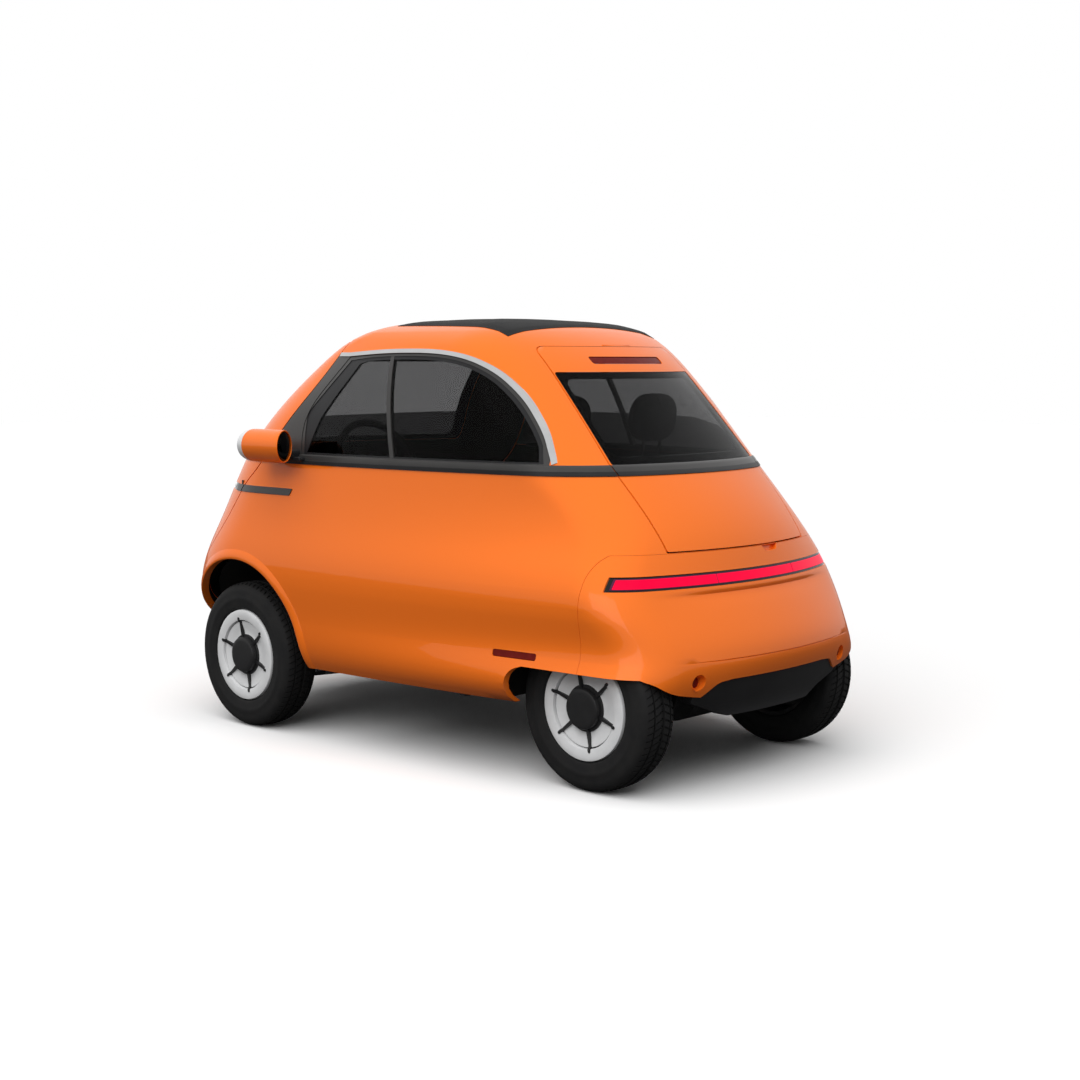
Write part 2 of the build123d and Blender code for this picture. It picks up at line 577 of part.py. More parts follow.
# ---- underbody ------------------------------------------------------------
well_cuts = both_sides(
    y_cylinder(
        FRONT_AXLE, TYRE_RADIUS, FRONT_ARCH_RADIUS + LINER_WALL + FIT_GAP,
        FRONT_WELL_Y - LINER_WALL - FIT_GAP, CUT_SIDE,
    )
) + both_sides(
    y_cylinder(
        REAR_AXLE, TYRE_RADIUS, REAR_WELL_RADIUS + LINER_WALL + FIT_GAP,
        REAR_WELL_Y - LINER_WALL - FIT_GAP, CUT_SIDE,
    )
)
floor_slab = box_between(
    (ax(BULKHEAD_X), ax(FLOOR_FRONT)), FULL_Y, (SILL_Z, SILL_Z + FLOOR_THICK)
)
bulkhead_run = (ax(BULKHEAD_X), ax(BULKHEAD_X + BULKHEAD_THICK))
bulkhead = box_between(bulkhead_run, FULL_Y, (SILL_Z, BOOT_FLOOR_Z - FIT_GAP))
floor_pan = (lining & (floor_slab + bulkhead)) - well_cuts
boot_slab = box_between(
    (ax(BOOT_FLOOR_BACK), bulkhead_run[1]), FULL_Y, (BOOT_FLOOR_Z, BOOT_FLOOR_Z + BOOT_FLOOR_THICK)
)
boot_floor = (lining & boot_slab) - hatch_cut
diffuser = rear_prism(DIFFUSER_HALF, *DIFFUSER_RUN, -FIT_GAP) & loft_body(inset=DIFFUSER_INSET)
diffuser_hollow = [(y - DIFFUSER_WALL, z - DIFFUSER_WALL) for y, z in DIFFUSER_HALF[:2]]
diffuser_hollow.append((DIFFUSER_HALF[2][0] - DIFFUSER_WALL, BELOW_SILL_Z))
diffuser -= rear_prism(diffuser_hollow, DIFFUSER_RUN[0] + DIFFUSER_WALL, DIFFUSER_RUN[1] + 10)

battery_pack = box_between(
    (ax(SEAT_X[0] + BATTERY_MARGIN[0]), ax(SEAT_X[1] - BATTERY_MARGIN[1])),
    (-SEAT_HALF + BATTERY_MARGIN[1], SEAT_HALF - BATTERY_MARGIN[1]),
    (SILL_Z + FLOOR_THICK, SEAT_TOP_Z - CUSHION_THICK - FIT_GAP),
)
motor_block = y_cylinder(REAR_AXLE, TYRE_RADIUS, MOTOR_RADIUS, *MOTOR_Y)


def sill_middle(x):
    """Middle of the side panel's underside, seen from below."""
    z, _, _, side_in, widest, _, _, r_side, _, _, wall = SECTIONS[0]
    return SIDE - side_in - (widest - x) ** 2 / (2 * r_side) - wall / 2


def jack_pad(x):
    return Pos(ax(x), sill_middle(x), SILL_Z - FIT_GAP - JACK_PAD_THICK) * Cylinder(
        JACK_PAD_RADIUS, JACK_PAD_THICK, align=(Align.CENTER, Align.CENTER, Align.MIN)
    )


left_jack_pads = [jack_pad(x) for x in JACK_PAD_X]

# ---- rear axle ------------------------------------------------------------
def rear_arm():
    root_y = REAR_WELL_Y - REAR_ARM_IN
    arm = box_between(
        (ax(REAR_ARM_BACK), ax(BULKHEAD_X) - FIT_GAP),
        (root_y + REAR_ARM_Y[0], root_y + REAR_ARM_Y[1]),
        (TYRE_RADIUS + REAR_ARM_Z[0], TYRE_RADIUS + REAR_ARM_Z[1]),
    )
    stub_end = REAR_WHEEL_Y - REAR_STUB_IN
    stub = y_cylinder(REAR_AXLE, TYRE_RADIUS, REAR_STUB_RADIUS, root_y, stub_end)
    pin = y_cylinder(REAR_AXLE, TYRE_RADIUS, SPINDLE_RADIUS, root_y, REAR_WHEEL_Y + PIN_REACH)
    return arm + stub + pin


cross_half = REAR_WELL_Y - REAR_ARM_IN
cross_tube = y_cylinder(
    ax(CROSS_TUBE_X), TYRE_RADIUS - CROSS_TUBE_DROP, CROSS_TUBE_RADIUS, -cross_half, cross_half
)
mount_half, mount_rise = MOTOR_MOUNT_HALF
motor_mount = box_between(
    (ax(MOTOR_MOUNT_X[0]), ax(MOTOR_MOUNT_X[1])), (-mount_half, mount_half),
    (TYRE_RADIUS - mount_rise, TYRE_RADIUS + mount_rise),
)
motor_seat = y_cylinder(REAR_AXLE, TYRE_RADIUS, MOTOR_RADIUS + FIT_GAP, *MOTOR_Y)
rear_axle = cross_tube + both_sides(rear_arm()) + (motor_mount - motor_seat)

# ---- front suspension and knuckles ----------------------------------------
subframe = box_between(
    (FRONT_AXLE + SUBFRAME_X[0], FRONT_AXLE + SUBFRAME_X[1]), (-SUBFRAME_HALF, SUBFRAME_HALF),
    (TYRE_RADIUS - SUBFRAME_DROP, SILL_Z - FIT_GAP),
)


def lower_arm():
    """A wishbone from the subframe out to the ball joint."""
    root_y, tip_y = SUBFRAME_HALF - ARM_OVERLAP, KINGPIN_Y - STUD_IN
    plate = make_face(
        Polyline(
            (FRONT_AXLE + ARM_ROOT_X[0], root_y), (FRONT_AXLE + ARM_ROOT_X[1], root_y),
            (FRONT_AXLE + ARM_TIP_HALF, tip_y), (FRONT_AXLE - ARM_TIP_HALF, tip_y), close=True,
        )
    )
    return Pos(0, 0, ARM_Z[0]) * extrude(plate, ARM_Z[1] - ARM_Z[0])


def ball_stud():
    return Pos(FRONT_AXLE, KINGPIN_Y - STUD_IN, ARM_Z[0]) * Cylinder(
        STUD_RADIUS, ARM_Z[1] - ARM_Z[0] + STUD_RISE, align=(Align.CENTER, Align.CENTER, Align.MIN)
    )


subframe -= Pos(FRONT_AXLE + SUBFRAME_X[1], *TOW_EYE_YZ) * Rot(0, -90, 0) * Cylinder(
    TOW_EYE_RADIUS, TOW_EYE_DEPTH, align=(Align.CENTER, Align.CENTER, Align.MIN)
)
front_suspension = subframe + both_sides(lower_arm() + ball_stud())


def knuckle():
    """Upright with its stub axle and steering arm, on the left."""
    upright = box_between(
        (FRONT_AXLE - UPRIGHT_HALF, FRONT_AXLE + UPRIGHT_HALF),
        (KINGPIN_Y + UPRIGHT_Y[0], KINGPIN_Y + UPRIGHT_Y[1]),
        (ARM_Z[1] + STUD_RISE + FIT_GAP, TYRE_RADIUS + UPRIGHT_TOP),
    )
    stub_radius, stub_reach = KNUCKLE_STUB
    stub = y_cylinder(FRONT_AXLE, TYRE_RADIUS, stub_radius, KINGPIN_Y, KINGPIN_Y + stub_reach)
    pin = y_cylinder(FRONT_AXLE, TYRE_RADIUS, SPINDLE_RADIUS, KINGPIN_Y, FRONT_WHEEL_Y + PIN_REACH)
    arm = box_between(
        (FRONT_AXLE - STEER_ARM_REACH, FRONT_AXLE),
        (KINGPIN_Y + STEER_ARM_Y[0], KINGPIN_Y + STEER_ARM_Y[1]),
        (TYRE_RADIUS + STEER_ARM_Z[0], TYRE_RADIUS + STEER_ARM_Z[1]),
    )
    return upright + stub + pin + arm


# ---- wheels ---------------------------------------------------------------
def wheel(x, y, side):
    """Rim barrel, hub disc and the cover with its six ribs and centre cap."""
    w = TYRE_WIDTH / 2
    face = w - COVER_INSET
    profile = [
        (-w + 12, RIM_RADIUS), (-w + 12, RIM_RADIUS - 14), (-w + 40, RIM_RADIUS - 22),
        (face - 30, RIM_RADIUS - 22), (face - 22, HUB_RADIUS + 34), (-2, HUB_RADIUS),
        (-2, SPINDLE_RADIUS + FIT_GAP), (8, SPINDLE_RADIUS + FIT_GAP), (8, 0),
        (face + 2, 0), (face + 2, 34), (face - 4, HUB_RADIUS - 4), (face - 8, 90),
        (face - 3, RIM_RADIUS - 12), (face - 2, RIM_RADIUS), (w - 14, RIM_RADIUS),
    ]
    body = turned(profile, x, y, side)
    rib = Pos(0, side * (face - 4), 96) * Box(18, 8, 104)
    for k in range(6):
        body += Pos(x, y, TYRE_RADIUS) * Rot(0, 60 * k + 30, 0) * rib
    return body


# ---- mirror pods ----------------------------------------------------------
def pod_parts():
    """Left pod: barrel with its arm, headlamp in front, mirror behind."""
    x0, x1 = ax(POD_X[0]), ax(POD_X[1])
    r = POD_RADIUS
    profile = make_face(
        Polyline(
            (x0, 0), (x0, r - 9), (x0 + 16, r - 2), (x0 + 60, r), (x1 - 70, r),
            (x1 - 20, r - 4), (x1, r - 12), (x1, 0), close=True,
        )
    )
    barrel = revolve(profile, Axis.X)
    front_seat = Pos(x1, 0, 0) * Rot(0, 90, 0) * Cylinder(r - HEADLAMP_RIM, 2 * HEADLAMP_SEAT)
    rear_seat = Pos(x0, 0, 0) * Rot(0, 90, 0) * Cylinder(r - MIRROR_RIM, 2 * MIRROR_SEAT)
    place = Pos(0, POD_Y, POD_Z)
    arm = box_between(
        (x0 + POD_ARM_INSET, x1 - POD_ARM_INSET), (POD_ARM_ROOT_Y, POD_Y),
        (POD_Z + POD_ARM_Z[0], POD_Z + POD_ARM_Z[1]),
    ) - outer
    housing = place * (barrel - front_seat - rear_seat) + arm
    lamp = place * Pos(x1 - HEADLAMP_SEAT + FIT_GAP, 0, 0) * Rot(0, 90, 0) * Cylinder(
        r - HEADLAMP_RIM - FIT_GAP, HEADLAMP_THICK, align=(Align.CENTER, Align.CENTER, Align.MIN)
    )
    glass = place * Pos(x0 + MIRROR_SEAT - FIT_GAP, 0, 0) * Rot(0, 90, 0) * Cylinder(
        r - MIRROR_RIM - FIT_GAP, MIRROR_THICK, align=(Align.CENTER, Align.CENTER, Align.MAX)
    )
    return housing, lamp, glass


left_pod, left_lamp, left_mirror = pod_parts()

# ---- seats ----------------------------------------------------------------
seat_base = box_between(
    (ax(SEAT_X[0]), ax(SEAT_X[1])), (-SEAT_HALF, SEAT_HALF),
    (SEAT_TOP_Z - CUSHION_THICK, SEAT_TOP_Z),
)
seat_base = fillet(seat_base.edges(), SEAT_EDGE_RADIUS)
back_place = Pos(ax(SEAT_X[0] + 10), 0, SEAT_TOP_Z + FIT_GAP) * Rot(0, -BACK_LEAN, 0)
back_length = (BACK_TOP_Z - SEAT_TOP_Z) / math.cos(math.radians(BACK_LEAN))
back_block = box_between(
    (-BACK_THICK, 0), (-SEAT_HALF, SEAT_HALF), (-CUSHION_THICK * 0.6, back_length)
)
seat_back = back_place * fillet(back_block.edges(), SEAT_EDGE_RADIUS)
seat_back -= box_between(
    (ax(SEAT_X[0]) - FIT_GAP, ax(SEAT_X[1])), FULL_Y, (0, SEAT_TOP_Z + FIT_GAP)
)
head_x = 12 - BACK_THICK / 2
head_z = back_length + STALK_LENGTH - HEADREST_EDGE_RADIUS / 2 + HEADREST_SIZE[2] / 2
headrest = fillet((Pos(head_x, 0, head_z) * Box(*HEADREST_SIZE)).edges(), HEADREST_EDGE_RADIUS)
for stalk_y in (-STALK_HALF_SPAN, STALK_HALF_SPAN):
    headrest += Pos(head_x, stalk_y, back_length + FIT_GAP) * Cylinder(
        STALK_RADIUS, STALK_LENGTH, align=(Align.CENTER, Align.CENTER, Align.MIN)
    )
headrests = [back_place * Pos(0, y, 0) * headrest for y in (-HEADREST_Y, HEADREST_Y)]

# ---- dash bar, column, pedals ----------------------------------------------
hub_x, hub_z = ax(STEERING_CENTRE[0]), STEERING_CENTRE[1]
column_place = Plane(
    origin=(hub_x, STEERING_Y, hub_z),
    x_dir=(0, 1, 0),
    z_dir=(-math.sin(math.radians(STEERING_TILT)), 0, math.cos(math.radians(STEERING_TILT))),
)
wheel_rim = Torus(STEERING_RADIUS, STEERING_RIM_RADIUS)
hub_radius, hub_thick = STEERING_HUB
spokes = Box(2 * STEERING_RADIUS, *STEERING_SPOKE) + Cylinder(hub_radius, hub_thick)
low_width, low_thick = STEERING_LOW_SPOKE
spokes += Pos(0, STEERING_RADIUS / 2, 0) * Box(low_width, STEERING_RADIUS, low_thick)
steering_wheel = column_place * (wheel_rim + spokes)
column_top = -hub_thick / 2 - FIT_GAP
steering_column = column_place * Pos(0, 0, column_top) * Cylinder(
    COLUMN_HALF, COLUMN_LENGTH, align=(Align.CENTER, Align.CENTER, Align.MAX)
)
leg_reach = COLUMN_LENGTH - 20
leg_x = hub_x + leg_reach * math.sin(math.radians(STEERING_TILT))
leg_z = hub_z - leg_reach * math.cos(math.radians(STEERING_TILT))
floor_top = SILL_Z + FLOOR_THICK
steering_column += box_between(
    (leg_x - COLUMN_HALF, leg_x + COLUMN_HALF),
    (STEERING_Y - COLUMN_HALF, STEERING_Y + COLUMN_HALF), (floor_top, leg_z),
)
dash_region = box_between((ax(DASH_X[0]), ax(DASH_X[1])), FULL_Y, DASH_Z)
dash_bar = lining & dash_region
pad_face, pad_back, arm_back = (ax(x) for x in PEDAL_X)
pedal = box_between((pad_back, arm_back), (0, PEDAL_ARM_WIDTH), (floor_top, PEDAL_ARM_TOP_Z))
pedal += box_between((pad_face, pad_back), PEDAL_PAD_Y, PEDAL_PAD_Z)
pedals = [Pos(0, STEERING_Y + y, 0) * pedal for y in PEDAL_FROM_COLUMN]


# ---- small lamps on the body ----------------------------------------------
marker_skin = outer - glass_face
marker_back = outer - loft_body(inset=GLASS_DEPTH - FIT_GAP)


def marker_box(gap):
    return box_between(
        (ax(MARKER_X[0]) + gap, ax(MARKER_X[1]) - gap), (SIDE - 300, CUT_SIDE),
        (MARKER_Z[0] + gap, MARKER_Z[1] - gap),
    )


left_marker = marker_back & marker_box(FIT_GAP)
marker_cut = marker_skin & marker_box(0)
left_side_panel -= marker_cut
right_side_panel -= mirror_y(marker_cut)


def x_cylinder(x_from, x_to, y, z, radius):
    """A cylinder along the car."""
    return Pos(x_from, y, z) * Rot(0, 90, 0) * Cylinder(
        radius, x_to - x_from, align=(Align.CENTER, Align.CENTER, Align.MIN)
    )


pocket_back = ax(REFLECTOR_BACK)
rear_bumper -= both_sides(
    x_cylinder(REAR_END - 50, pocket_back, *REFLECTOR_YZ, REFLECTOR_RADIUS)
)
reflector = x_cylinder(
    pocket_back - REFLECTOR_THICK, pocket_back - FIT_GAP, *REFLECTOR_YZ,
    REFLECTOR_RADIUS - REFLECTOR_RIM,
)

# ---- nodes ------------------------------------------------------------------
left_wheel_y = {"front": (FRONT_AXLE, FRONT_WHEEL_Y), "rear": (REAR_AXLE, REAR_WHEEL_Y)}
nodes = {
    "roof_shell": roof_shell,
    "left_side_panel": left_side_panel,
    "right_side_panel": right_side_panel,
    "rear_bumper": rear_bumper,
    "front_bumper": front_bumper,
    "diffuser": diffuser,
    "floor_pan": floor_pan,
    "boot_floor": boot_floor,
    "front_wheel_liners": both_sides(front_liner),
    "rear_wheel_liners": both_sides(rear_liner),
    "jack_pads": [pad for left_pad in left_jack_pads for pad in both_sides(left_pad)],
    "battery_pack": battery_pack,
    "motor_block": motor_block,
    "rear_axle": rear_axle,
    "front_suspension": front_suspension,
    "left_knuckle": knuckle(),
    "right_knuckle": mirror_y(knuckle()),
    "door_hinge_pin": door_pin,
    "hatch_hinge_pin": hatch_hinge_pin,
    "front_door": door_shell,
    "windscreen": windscreen,
    "dash_bar": dash_bar,
    "front_light_bar": front_light_bar,
    "hatch": hatch_shell,
    "rear_window": rear_window,
    "third_brake_light": third_brake_light,
    "window_frames": both_sides(left_frame),
    "side_windows": [*left_panes.solids(), *mirror_y(left_panes).solids()],
    "soft_top": soft_top,
    "rear_light_bar": rear_light_bar,
    "side_markers": both_sides(left_marker),
    "rear_reflectors": both_sides(reflector),
    "left_mirror_pod": left_pod,
    "right_mirror_pod": mirror_y(left_pod),
    "headlamps": both_sides(left_lamp),
    "mirror_glasses": both_sides(left_mirror),
    "seat_base": seat_base,
    "seat_back": seat_back,
    "headrests": headrests,
    "steering_column": steering_column,
    "steering_wheel": steering_wheel,
    "pedals": pedals,
}
for end, (x, y) in left_wheel_y.items():
    for name, side in (("left", 1), ("right", -1)):
        nodes[f"{end}_{name}_tyre"] = tyre(x, side * y, side)
        nodes[f"{end}_{name}_wheel"] = wheel(x, side * y, side)

os.makedirs("parts", exist_ok=True)
for name, shape in nodes.items():
    pieces = shape if isinstance(shape, list) else [shape]
    solids = [solid for piece in pieces for solid in piece.solids()]
    export_step(Compound(children=solids), f"parts/{name}.step")
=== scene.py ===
import bpy
import bmesh
import math
from mathutils import Matrix, Vector
from mathutils.bvhtree import BVHTree


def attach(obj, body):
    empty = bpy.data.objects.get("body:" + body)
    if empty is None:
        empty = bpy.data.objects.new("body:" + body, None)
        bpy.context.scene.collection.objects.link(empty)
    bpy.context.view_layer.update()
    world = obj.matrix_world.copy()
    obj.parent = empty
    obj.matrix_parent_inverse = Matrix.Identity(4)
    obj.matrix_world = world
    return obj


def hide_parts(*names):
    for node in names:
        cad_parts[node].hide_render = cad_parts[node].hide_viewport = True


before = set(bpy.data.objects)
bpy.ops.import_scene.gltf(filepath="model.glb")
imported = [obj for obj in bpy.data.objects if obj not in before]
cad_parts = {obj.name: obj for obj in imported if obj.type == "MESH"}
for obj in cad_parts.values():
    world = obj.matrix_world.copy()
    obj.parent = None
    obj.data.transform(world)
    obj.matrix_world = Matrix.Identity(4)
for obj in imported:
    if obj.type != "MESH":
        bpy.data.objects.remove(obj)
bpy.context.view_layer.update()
scene = bpy.context.scene

# ---- sizes in metres; x of body features is given ahead of the rear axle ----
REAR_AXLE = -0.8845
FRONT_AXLE = 0.6815
AXLE_Z = 0.2685
SIDE = 0.7365
REAR_END = -1.2595
FRONT_END = 1.2595
SHUT_GAP = 0.0045
PANEL_GAP = 0.0012
PANEL_DEPTH = 0.024
BELT_Z = 1.003
SILL_Z = 0.262
RING_Z = 1.448
FRONT_WHEEL_Y = 0.632
REAR_WHEEL_Y = 0.488
FRONT_ARCH = 0.360

# Body sections in millimetres. Columns: height, inset of the rear end, of the
# front end and of the side, widest place ahead of the rear axle, radii of the
# rear, front and side, radii of the rear and front corners. The rows at 262,
# 430, 560, 680, 760, 1003, 1200, 1340 and 1420 are the construction's own
# sections. The rows between them were fitted to its loft by another program.
BODY_ROWS = [
    (262, 52, 82, 55, 1450, 1500, 1000, 9000, 205, 300),
    (275, 48.4, 85.1, 45.3, 1449.4, 1694, 993.7, 10594.4, 213, 308.7),
    (290, 43.3, 85.5, 36.1, 1456.1, 1855.6, 989.8, 12492.2, 220.8, 316.7),
    (310, 35.3, 81.6, 26.9, 1470.9, 1964.2, 988, 14469.4, 228.3, 324.6),
    (335, 24.6, 71.3, 19.3, 1485.7, 1954.8, 988.9, 15018.5, 233.5, 331.1),
    (360, 14.3, 57.4, 14.8, 1491.4, 1841.9, 991.5, 13784.7, 235.2, 335.2),
    (385, 6, 41.8, 12.4, 1493.8, 1687.8, 994.7, 12097.5, 235.2, 338.3),
    (410, 0.8, 26.5, 11, 1496.9, 1540.5, 998, 10725.2, 234.9, 341.5),
    (430, 0, 16, 10, 1500, 1450, 1000, 10000, 235, 345),
    (455, 3.9, 6.2, 8.2, 1502.8, 1385.1, 1001.2, 9539.5, 235.8, 351.4),
    (485, 14.8, -0.8, 5.4, 1504.1, 1360, 1000.1, 9412.9, 237.2, 361.8),
    (520, 33.1, -3.2, 2.2, 1502.9, 1372.5, 994.2, 9610.1, 238.8, 376.5),
    (560, 57, 0, 0, 1500, 1400, 980, 10000, 240, 395),
    (600, 79.2, 7.5, 0.5, 1496.1, 1402.3, 957.5, 10134.2, 240.1, 413.4),
    (640, 98.7, 18.4, 3.8, 1490.1, 1369.4, 929.7, 9805.9, 239.7, 430.5),
    (680, 115, 32, 10, 1480, 1300, 900, 9000, 240, 445),
    (720, 128.8, 47.6, 18.6, 1465.4, 1200.1, 871.7, 7923.8, 242.5, 455.4),
    (760, 144, 66, 28, 1450, 1100, 850, 7000, 250, 460),
    (800, 164.9, 87.8, 36.7, 1436.2, 1027.2, 839.4, 6395.7, 263.8, 457.1),
    (850, 199.3, 119.8, 46.4, 1420.9, 976.3, 841.7, 5952.4, 287.6, 445.1),
    (900, 241.2, 156.4, 55.3, 1404.6, 966.1, 861.1, 5720.1, 315.5, 429),
    (950, 288.4, 196.7, 64.1, 1383.3, 993.1, 896.2, 5608.9, 343.3, 413.2),
    (1003, 341, 242, 74, 1350, 1050, 940, 5500, 365, 400),
    (1060, 397.3, 292.5, 86.4, 1296.2, 1102, 966.7, 5197.7, 372.1, 390.3),
    (1120, 454.6, 348.5, 102.5, 1216.5, 1088.9, 957.3, 4622.2, 364.9, 379.1),
    (1170, 500, 398.3, 118.9, 1134, 1018.4, 924.9, 3999.5, 352.7, 363.8),
    (1200, 526, 430, 130, 1080, 960, 900, 3600, 345, 350),
    (1235, 555.1, 469.1, 143.8, 1016.8, 889, 870.3, 3145.8, 337.1, 328.5),
    (1270, 584.2, 511.1, 158.1, 960.6, 829, 842.3, 2744.6, 330, 302.2),
    (1305, 615.1, 556.4, 172.7, 915.1, 785.9, 818.2, 2423.2, 322.1, 272.5),
    (1340, 650, 606, 188, 880, 760, 800, 2200, 310, 240),
    (1365, 678.8, 644.6, 200, 860.8, 751.8, 790.8, 2112.3, 296.3, 215.2),
    (1390, 711.6, 686.9, 214.8, 852.1, 750.5, 779.2, 2065.3, 275.5, 191.3),
    (1405, 733.7, 714.7, 226.1, 858, 753.3, 767.8, 2040.8, 258, 178.9),
    (1420, 758, 745, 240, 880, 760, 750, 2000, 235, 170),
    (1435, 785.7, 779.2, 256.1, 924, 774, 723.9, 1919.3, 205.2, 166.6),
    (1448, 816.2, 816.3, 271, 969.9, 797.7, 696.3, 1803.5, 177.2, 169.3),
]
# Roof above the last section: inset from it and height, then shrinking loops.
DOME_INSETS = [(0.018, 1.4543), (0.036, 1.4602), (0.056, 1.4658), (0.080, 1.4714), (0.105, 1.4764)]
DOME_SCALES = [(0.90, 1.4812), (0.76, 1.4865), (0.60, 1.4907), (0.40, 1.4944), (0.20, 1.4966),
               (0.0, 1.4974)]
ARC_STEPS = (14, 12, 46, 14, 12)
# The tail's groove above its lower edge and the cove below its light bar.
COVE_Z = [0.4240, 0.4285, 0.4300, 0.4320, 0.5550, 0.590, 0.612, 0.624, 0.632, 0.638]
COVE_DEPTH = [0.0, 0.0012, 0.0040, 0.0, 0.0, 0.0025, 0.007, 0.009, 0.003, 0.0]
COVE_HALF = 0.50               # the cove ends this far from the middle
COVE_FADE = 0.30               # and is full this far inside its ends
COVE_FRONT_X = -0.8            # only what is behind this place is hollowed
FAR_REAR, FAR_FRONT = -0.9, 3.0         # side-view cuts run past the body to these
BELOW_SILL_Z = 0.202
DOOR_FOOT_Z = 0.420
DOOR_HEAD_Z = 1.418
DOOR_ROOM = 0.008              # the cut's margin past the door's head and foot
REAR_CUT_X = -0.6              # rear-view cuts start here
HATCH_FRONT_X = 0.76           # and those of the hatch end here
WINDOW_WALL_Z = (1.0045, 1.385)
PILLAR_HEAD_Z = 1.3735
STRIP_WALL = (0.866, 0.904, -0.0035, 0.003)

DOOR_EDGE = [(1.226, DOOR_HEAD_Z), (1.240, 1.370), (1.308, 1.236), (1.401, 1.110), (1.500, 0.975),
             (1.585, 0.907), (1.617, 0.867), (1.690, 0.768), (1.760, 0.690), (1.865, 0.585),
             (1.940, DOOR_FOOT_Z)]
BUMPER_EDGE = [(-0.075, 0.752), (-0.052, 0.728), (-0.038, 0.690), (-0.034, 0.600),
               (-0.034, BELOW_SILL_Z)]
REAR_ARCH = [(0.258, BELOW_SILL_Z), (0.246, 0.340), (0.222, 0.378), (0.180, 0.392), (-0.235, 0.388),
             (-0.275, 0.370), (-0.300, 0.330), (-0.318, 0.308), (-0.450, 0.300)]
WINDOW_ARCH = [(1.165, 1.366), (0.930, 1.378), (0.707, 1.377), (0.560, 1.358), (0.440, 1.308),
               (0.330, 1.224), (0.238, 1.120), (0.190, 1.040)]
WINDOW_PILLAR = [(1.262, 1.006), (1.288, 1.165), (1.155, 1.366)]
HATCH_HALF = [(0.356, 0.758, 0.006), (0.370, 1.020, 0.05), (0.346, 1.310, 0.03), (0.338, 1.398, 0.040)]
REAR_GLASS_HALF = [(0.3665, 1.0180, 0.008), (0.3435, 1.3130, 0.012)]
WINDSCREEN_HALF = [(0.520, 1.024, 0.02), (0.500, 1.100, 0.02), (0.400, 1.330, 0.03),
                   (0.370, 1.372, 0.02)]
DIFFUSER_HALF = [(0.240, 0.3655, 0.05), (0.300, 0.360, 0.06), (0.376, 0.306, 0.05),
                 (0.392, 0.200, 0.0)]


# ---- outlines ----------------------------------------------------------------
def along(x):
    """Row x of a place given ahead of the rear axle."""
    return REAR_AXLE + x


def section_at(z):
    """The body section at a height, eased between the rows, in metres."""
    rows, h = BODY_ROWS, z * 1000
    h = min(max(h, rows[0][0]), rows[-1][0])
    k = max(i for i in range(len(rows) - 1) if rows[i][0] <= h or i == 0)
    span = rows[k + 1][0] - rows[k][0]
    t = (h - rows[k][0]) / span

    def lean(i, c):
        a, b = max(i - 1, 0), min(i + 1, len(rows) - 1)
        return (rows[b][c] - rows[a][c]) / (rows[b][0] - rows[a][0]) * span

    def eased(c):
        v0, v1 = rows[k][c], rows[k + 1][c]
        return (
            v0 * (2 * t**3 - 3 * t * t + 1) + lean(k, c) * (t**3 - 2 * t * t + t)
            + v1 * (3 * t * t - 2 * t**3) + lean(k + 1, c) * (t**3 - t * t)
        ) / 1000

    return [eased(c) for c in range(1, 10)]


def circle_meet(c1, r1, c2, r2, sense):
    """Where two circles cross on the left side, towards the rear or the front."""
    gap = Vector(c2) - Vector(c1)
    d = gap.length
    run = (r1 * r1 - r2 * r2 + d * d) / (2 * d)
    rise = math.sqrt(max(r1 * r1 - run * run, 0))
    mid = Vector(c1) + gap * (run / d)
    side = Vector((-gap.y, gap.x)) * (rise / d)
    return max((mid + side, mid - side), key=lambda p: p.y + sense * 0.5 * p.x)


outlines = {}


def outline(z, inset=0.0):
    """Points round the body at a height, drawn in by an inset."""
    key = (round(z, 5), round(inset, 5))
    if key in outlines:
        return outlines[key]
    rear_in, front_in, side_in, widest, r_rear, r_front, r_side, c_rear, c_front = section_at(z)
    rear = Vector((REAR_END + rear_in + r_rear, 0))
    front = Vector((FRONT_END - front_in - r_front, 0))
    flank = Vector((along(widest), SIDE - side_in - r_side))
    corner_r = circle_meet(flank, r_side - c_rear, rear, r_rear - c_rear, -1)
    corner_f = circle_meet(flank, r_side - c_front, front, r_front - c_front, 1)

    def touch(centre, radius, towards):
        return centre + (towards - centre).normalized() * (radius - inset)

    ends = [
        rear - Vector((r_rear - inset, 0)), touch(rear, r_rear, corner_r),
        touch(flank, r_side, corner_r), touch(flank, r_side, corner_f),
        touch(front, r_front, corner_f), front + Vector((r_front - inset, 0)),
    ]
    left = []
    for centre, start, end, steps in zip(
        (rear, corner_r, flank, corner_f, front), ends[:-1], ends[1:], ARC_STEPS
    ):
        radius = (start - centre).length
        a0 = math.atan2(start.y - centre.y, start.x - centre.x)
        a1 = math.atan2(end.y - centre.y, end.x - centre.x)
        turn = (a1 - a0 + math.pi) % (2 * math.pi) - math.pi
        for k in range(steps):
            a = a0 + turn * k / steps
            left.append((centre.x + radius * math.cos(a), centre.y + radius * math.sin(a), z))
    left[0] = (left[0][0], 0.0, z)
    tip = (ends[-1].x, 0.0, z)
    outlines[key] = left + [tip] + [(x, -y, h) for x, y, h in reversed(left[1:])]
    return outlines[key]


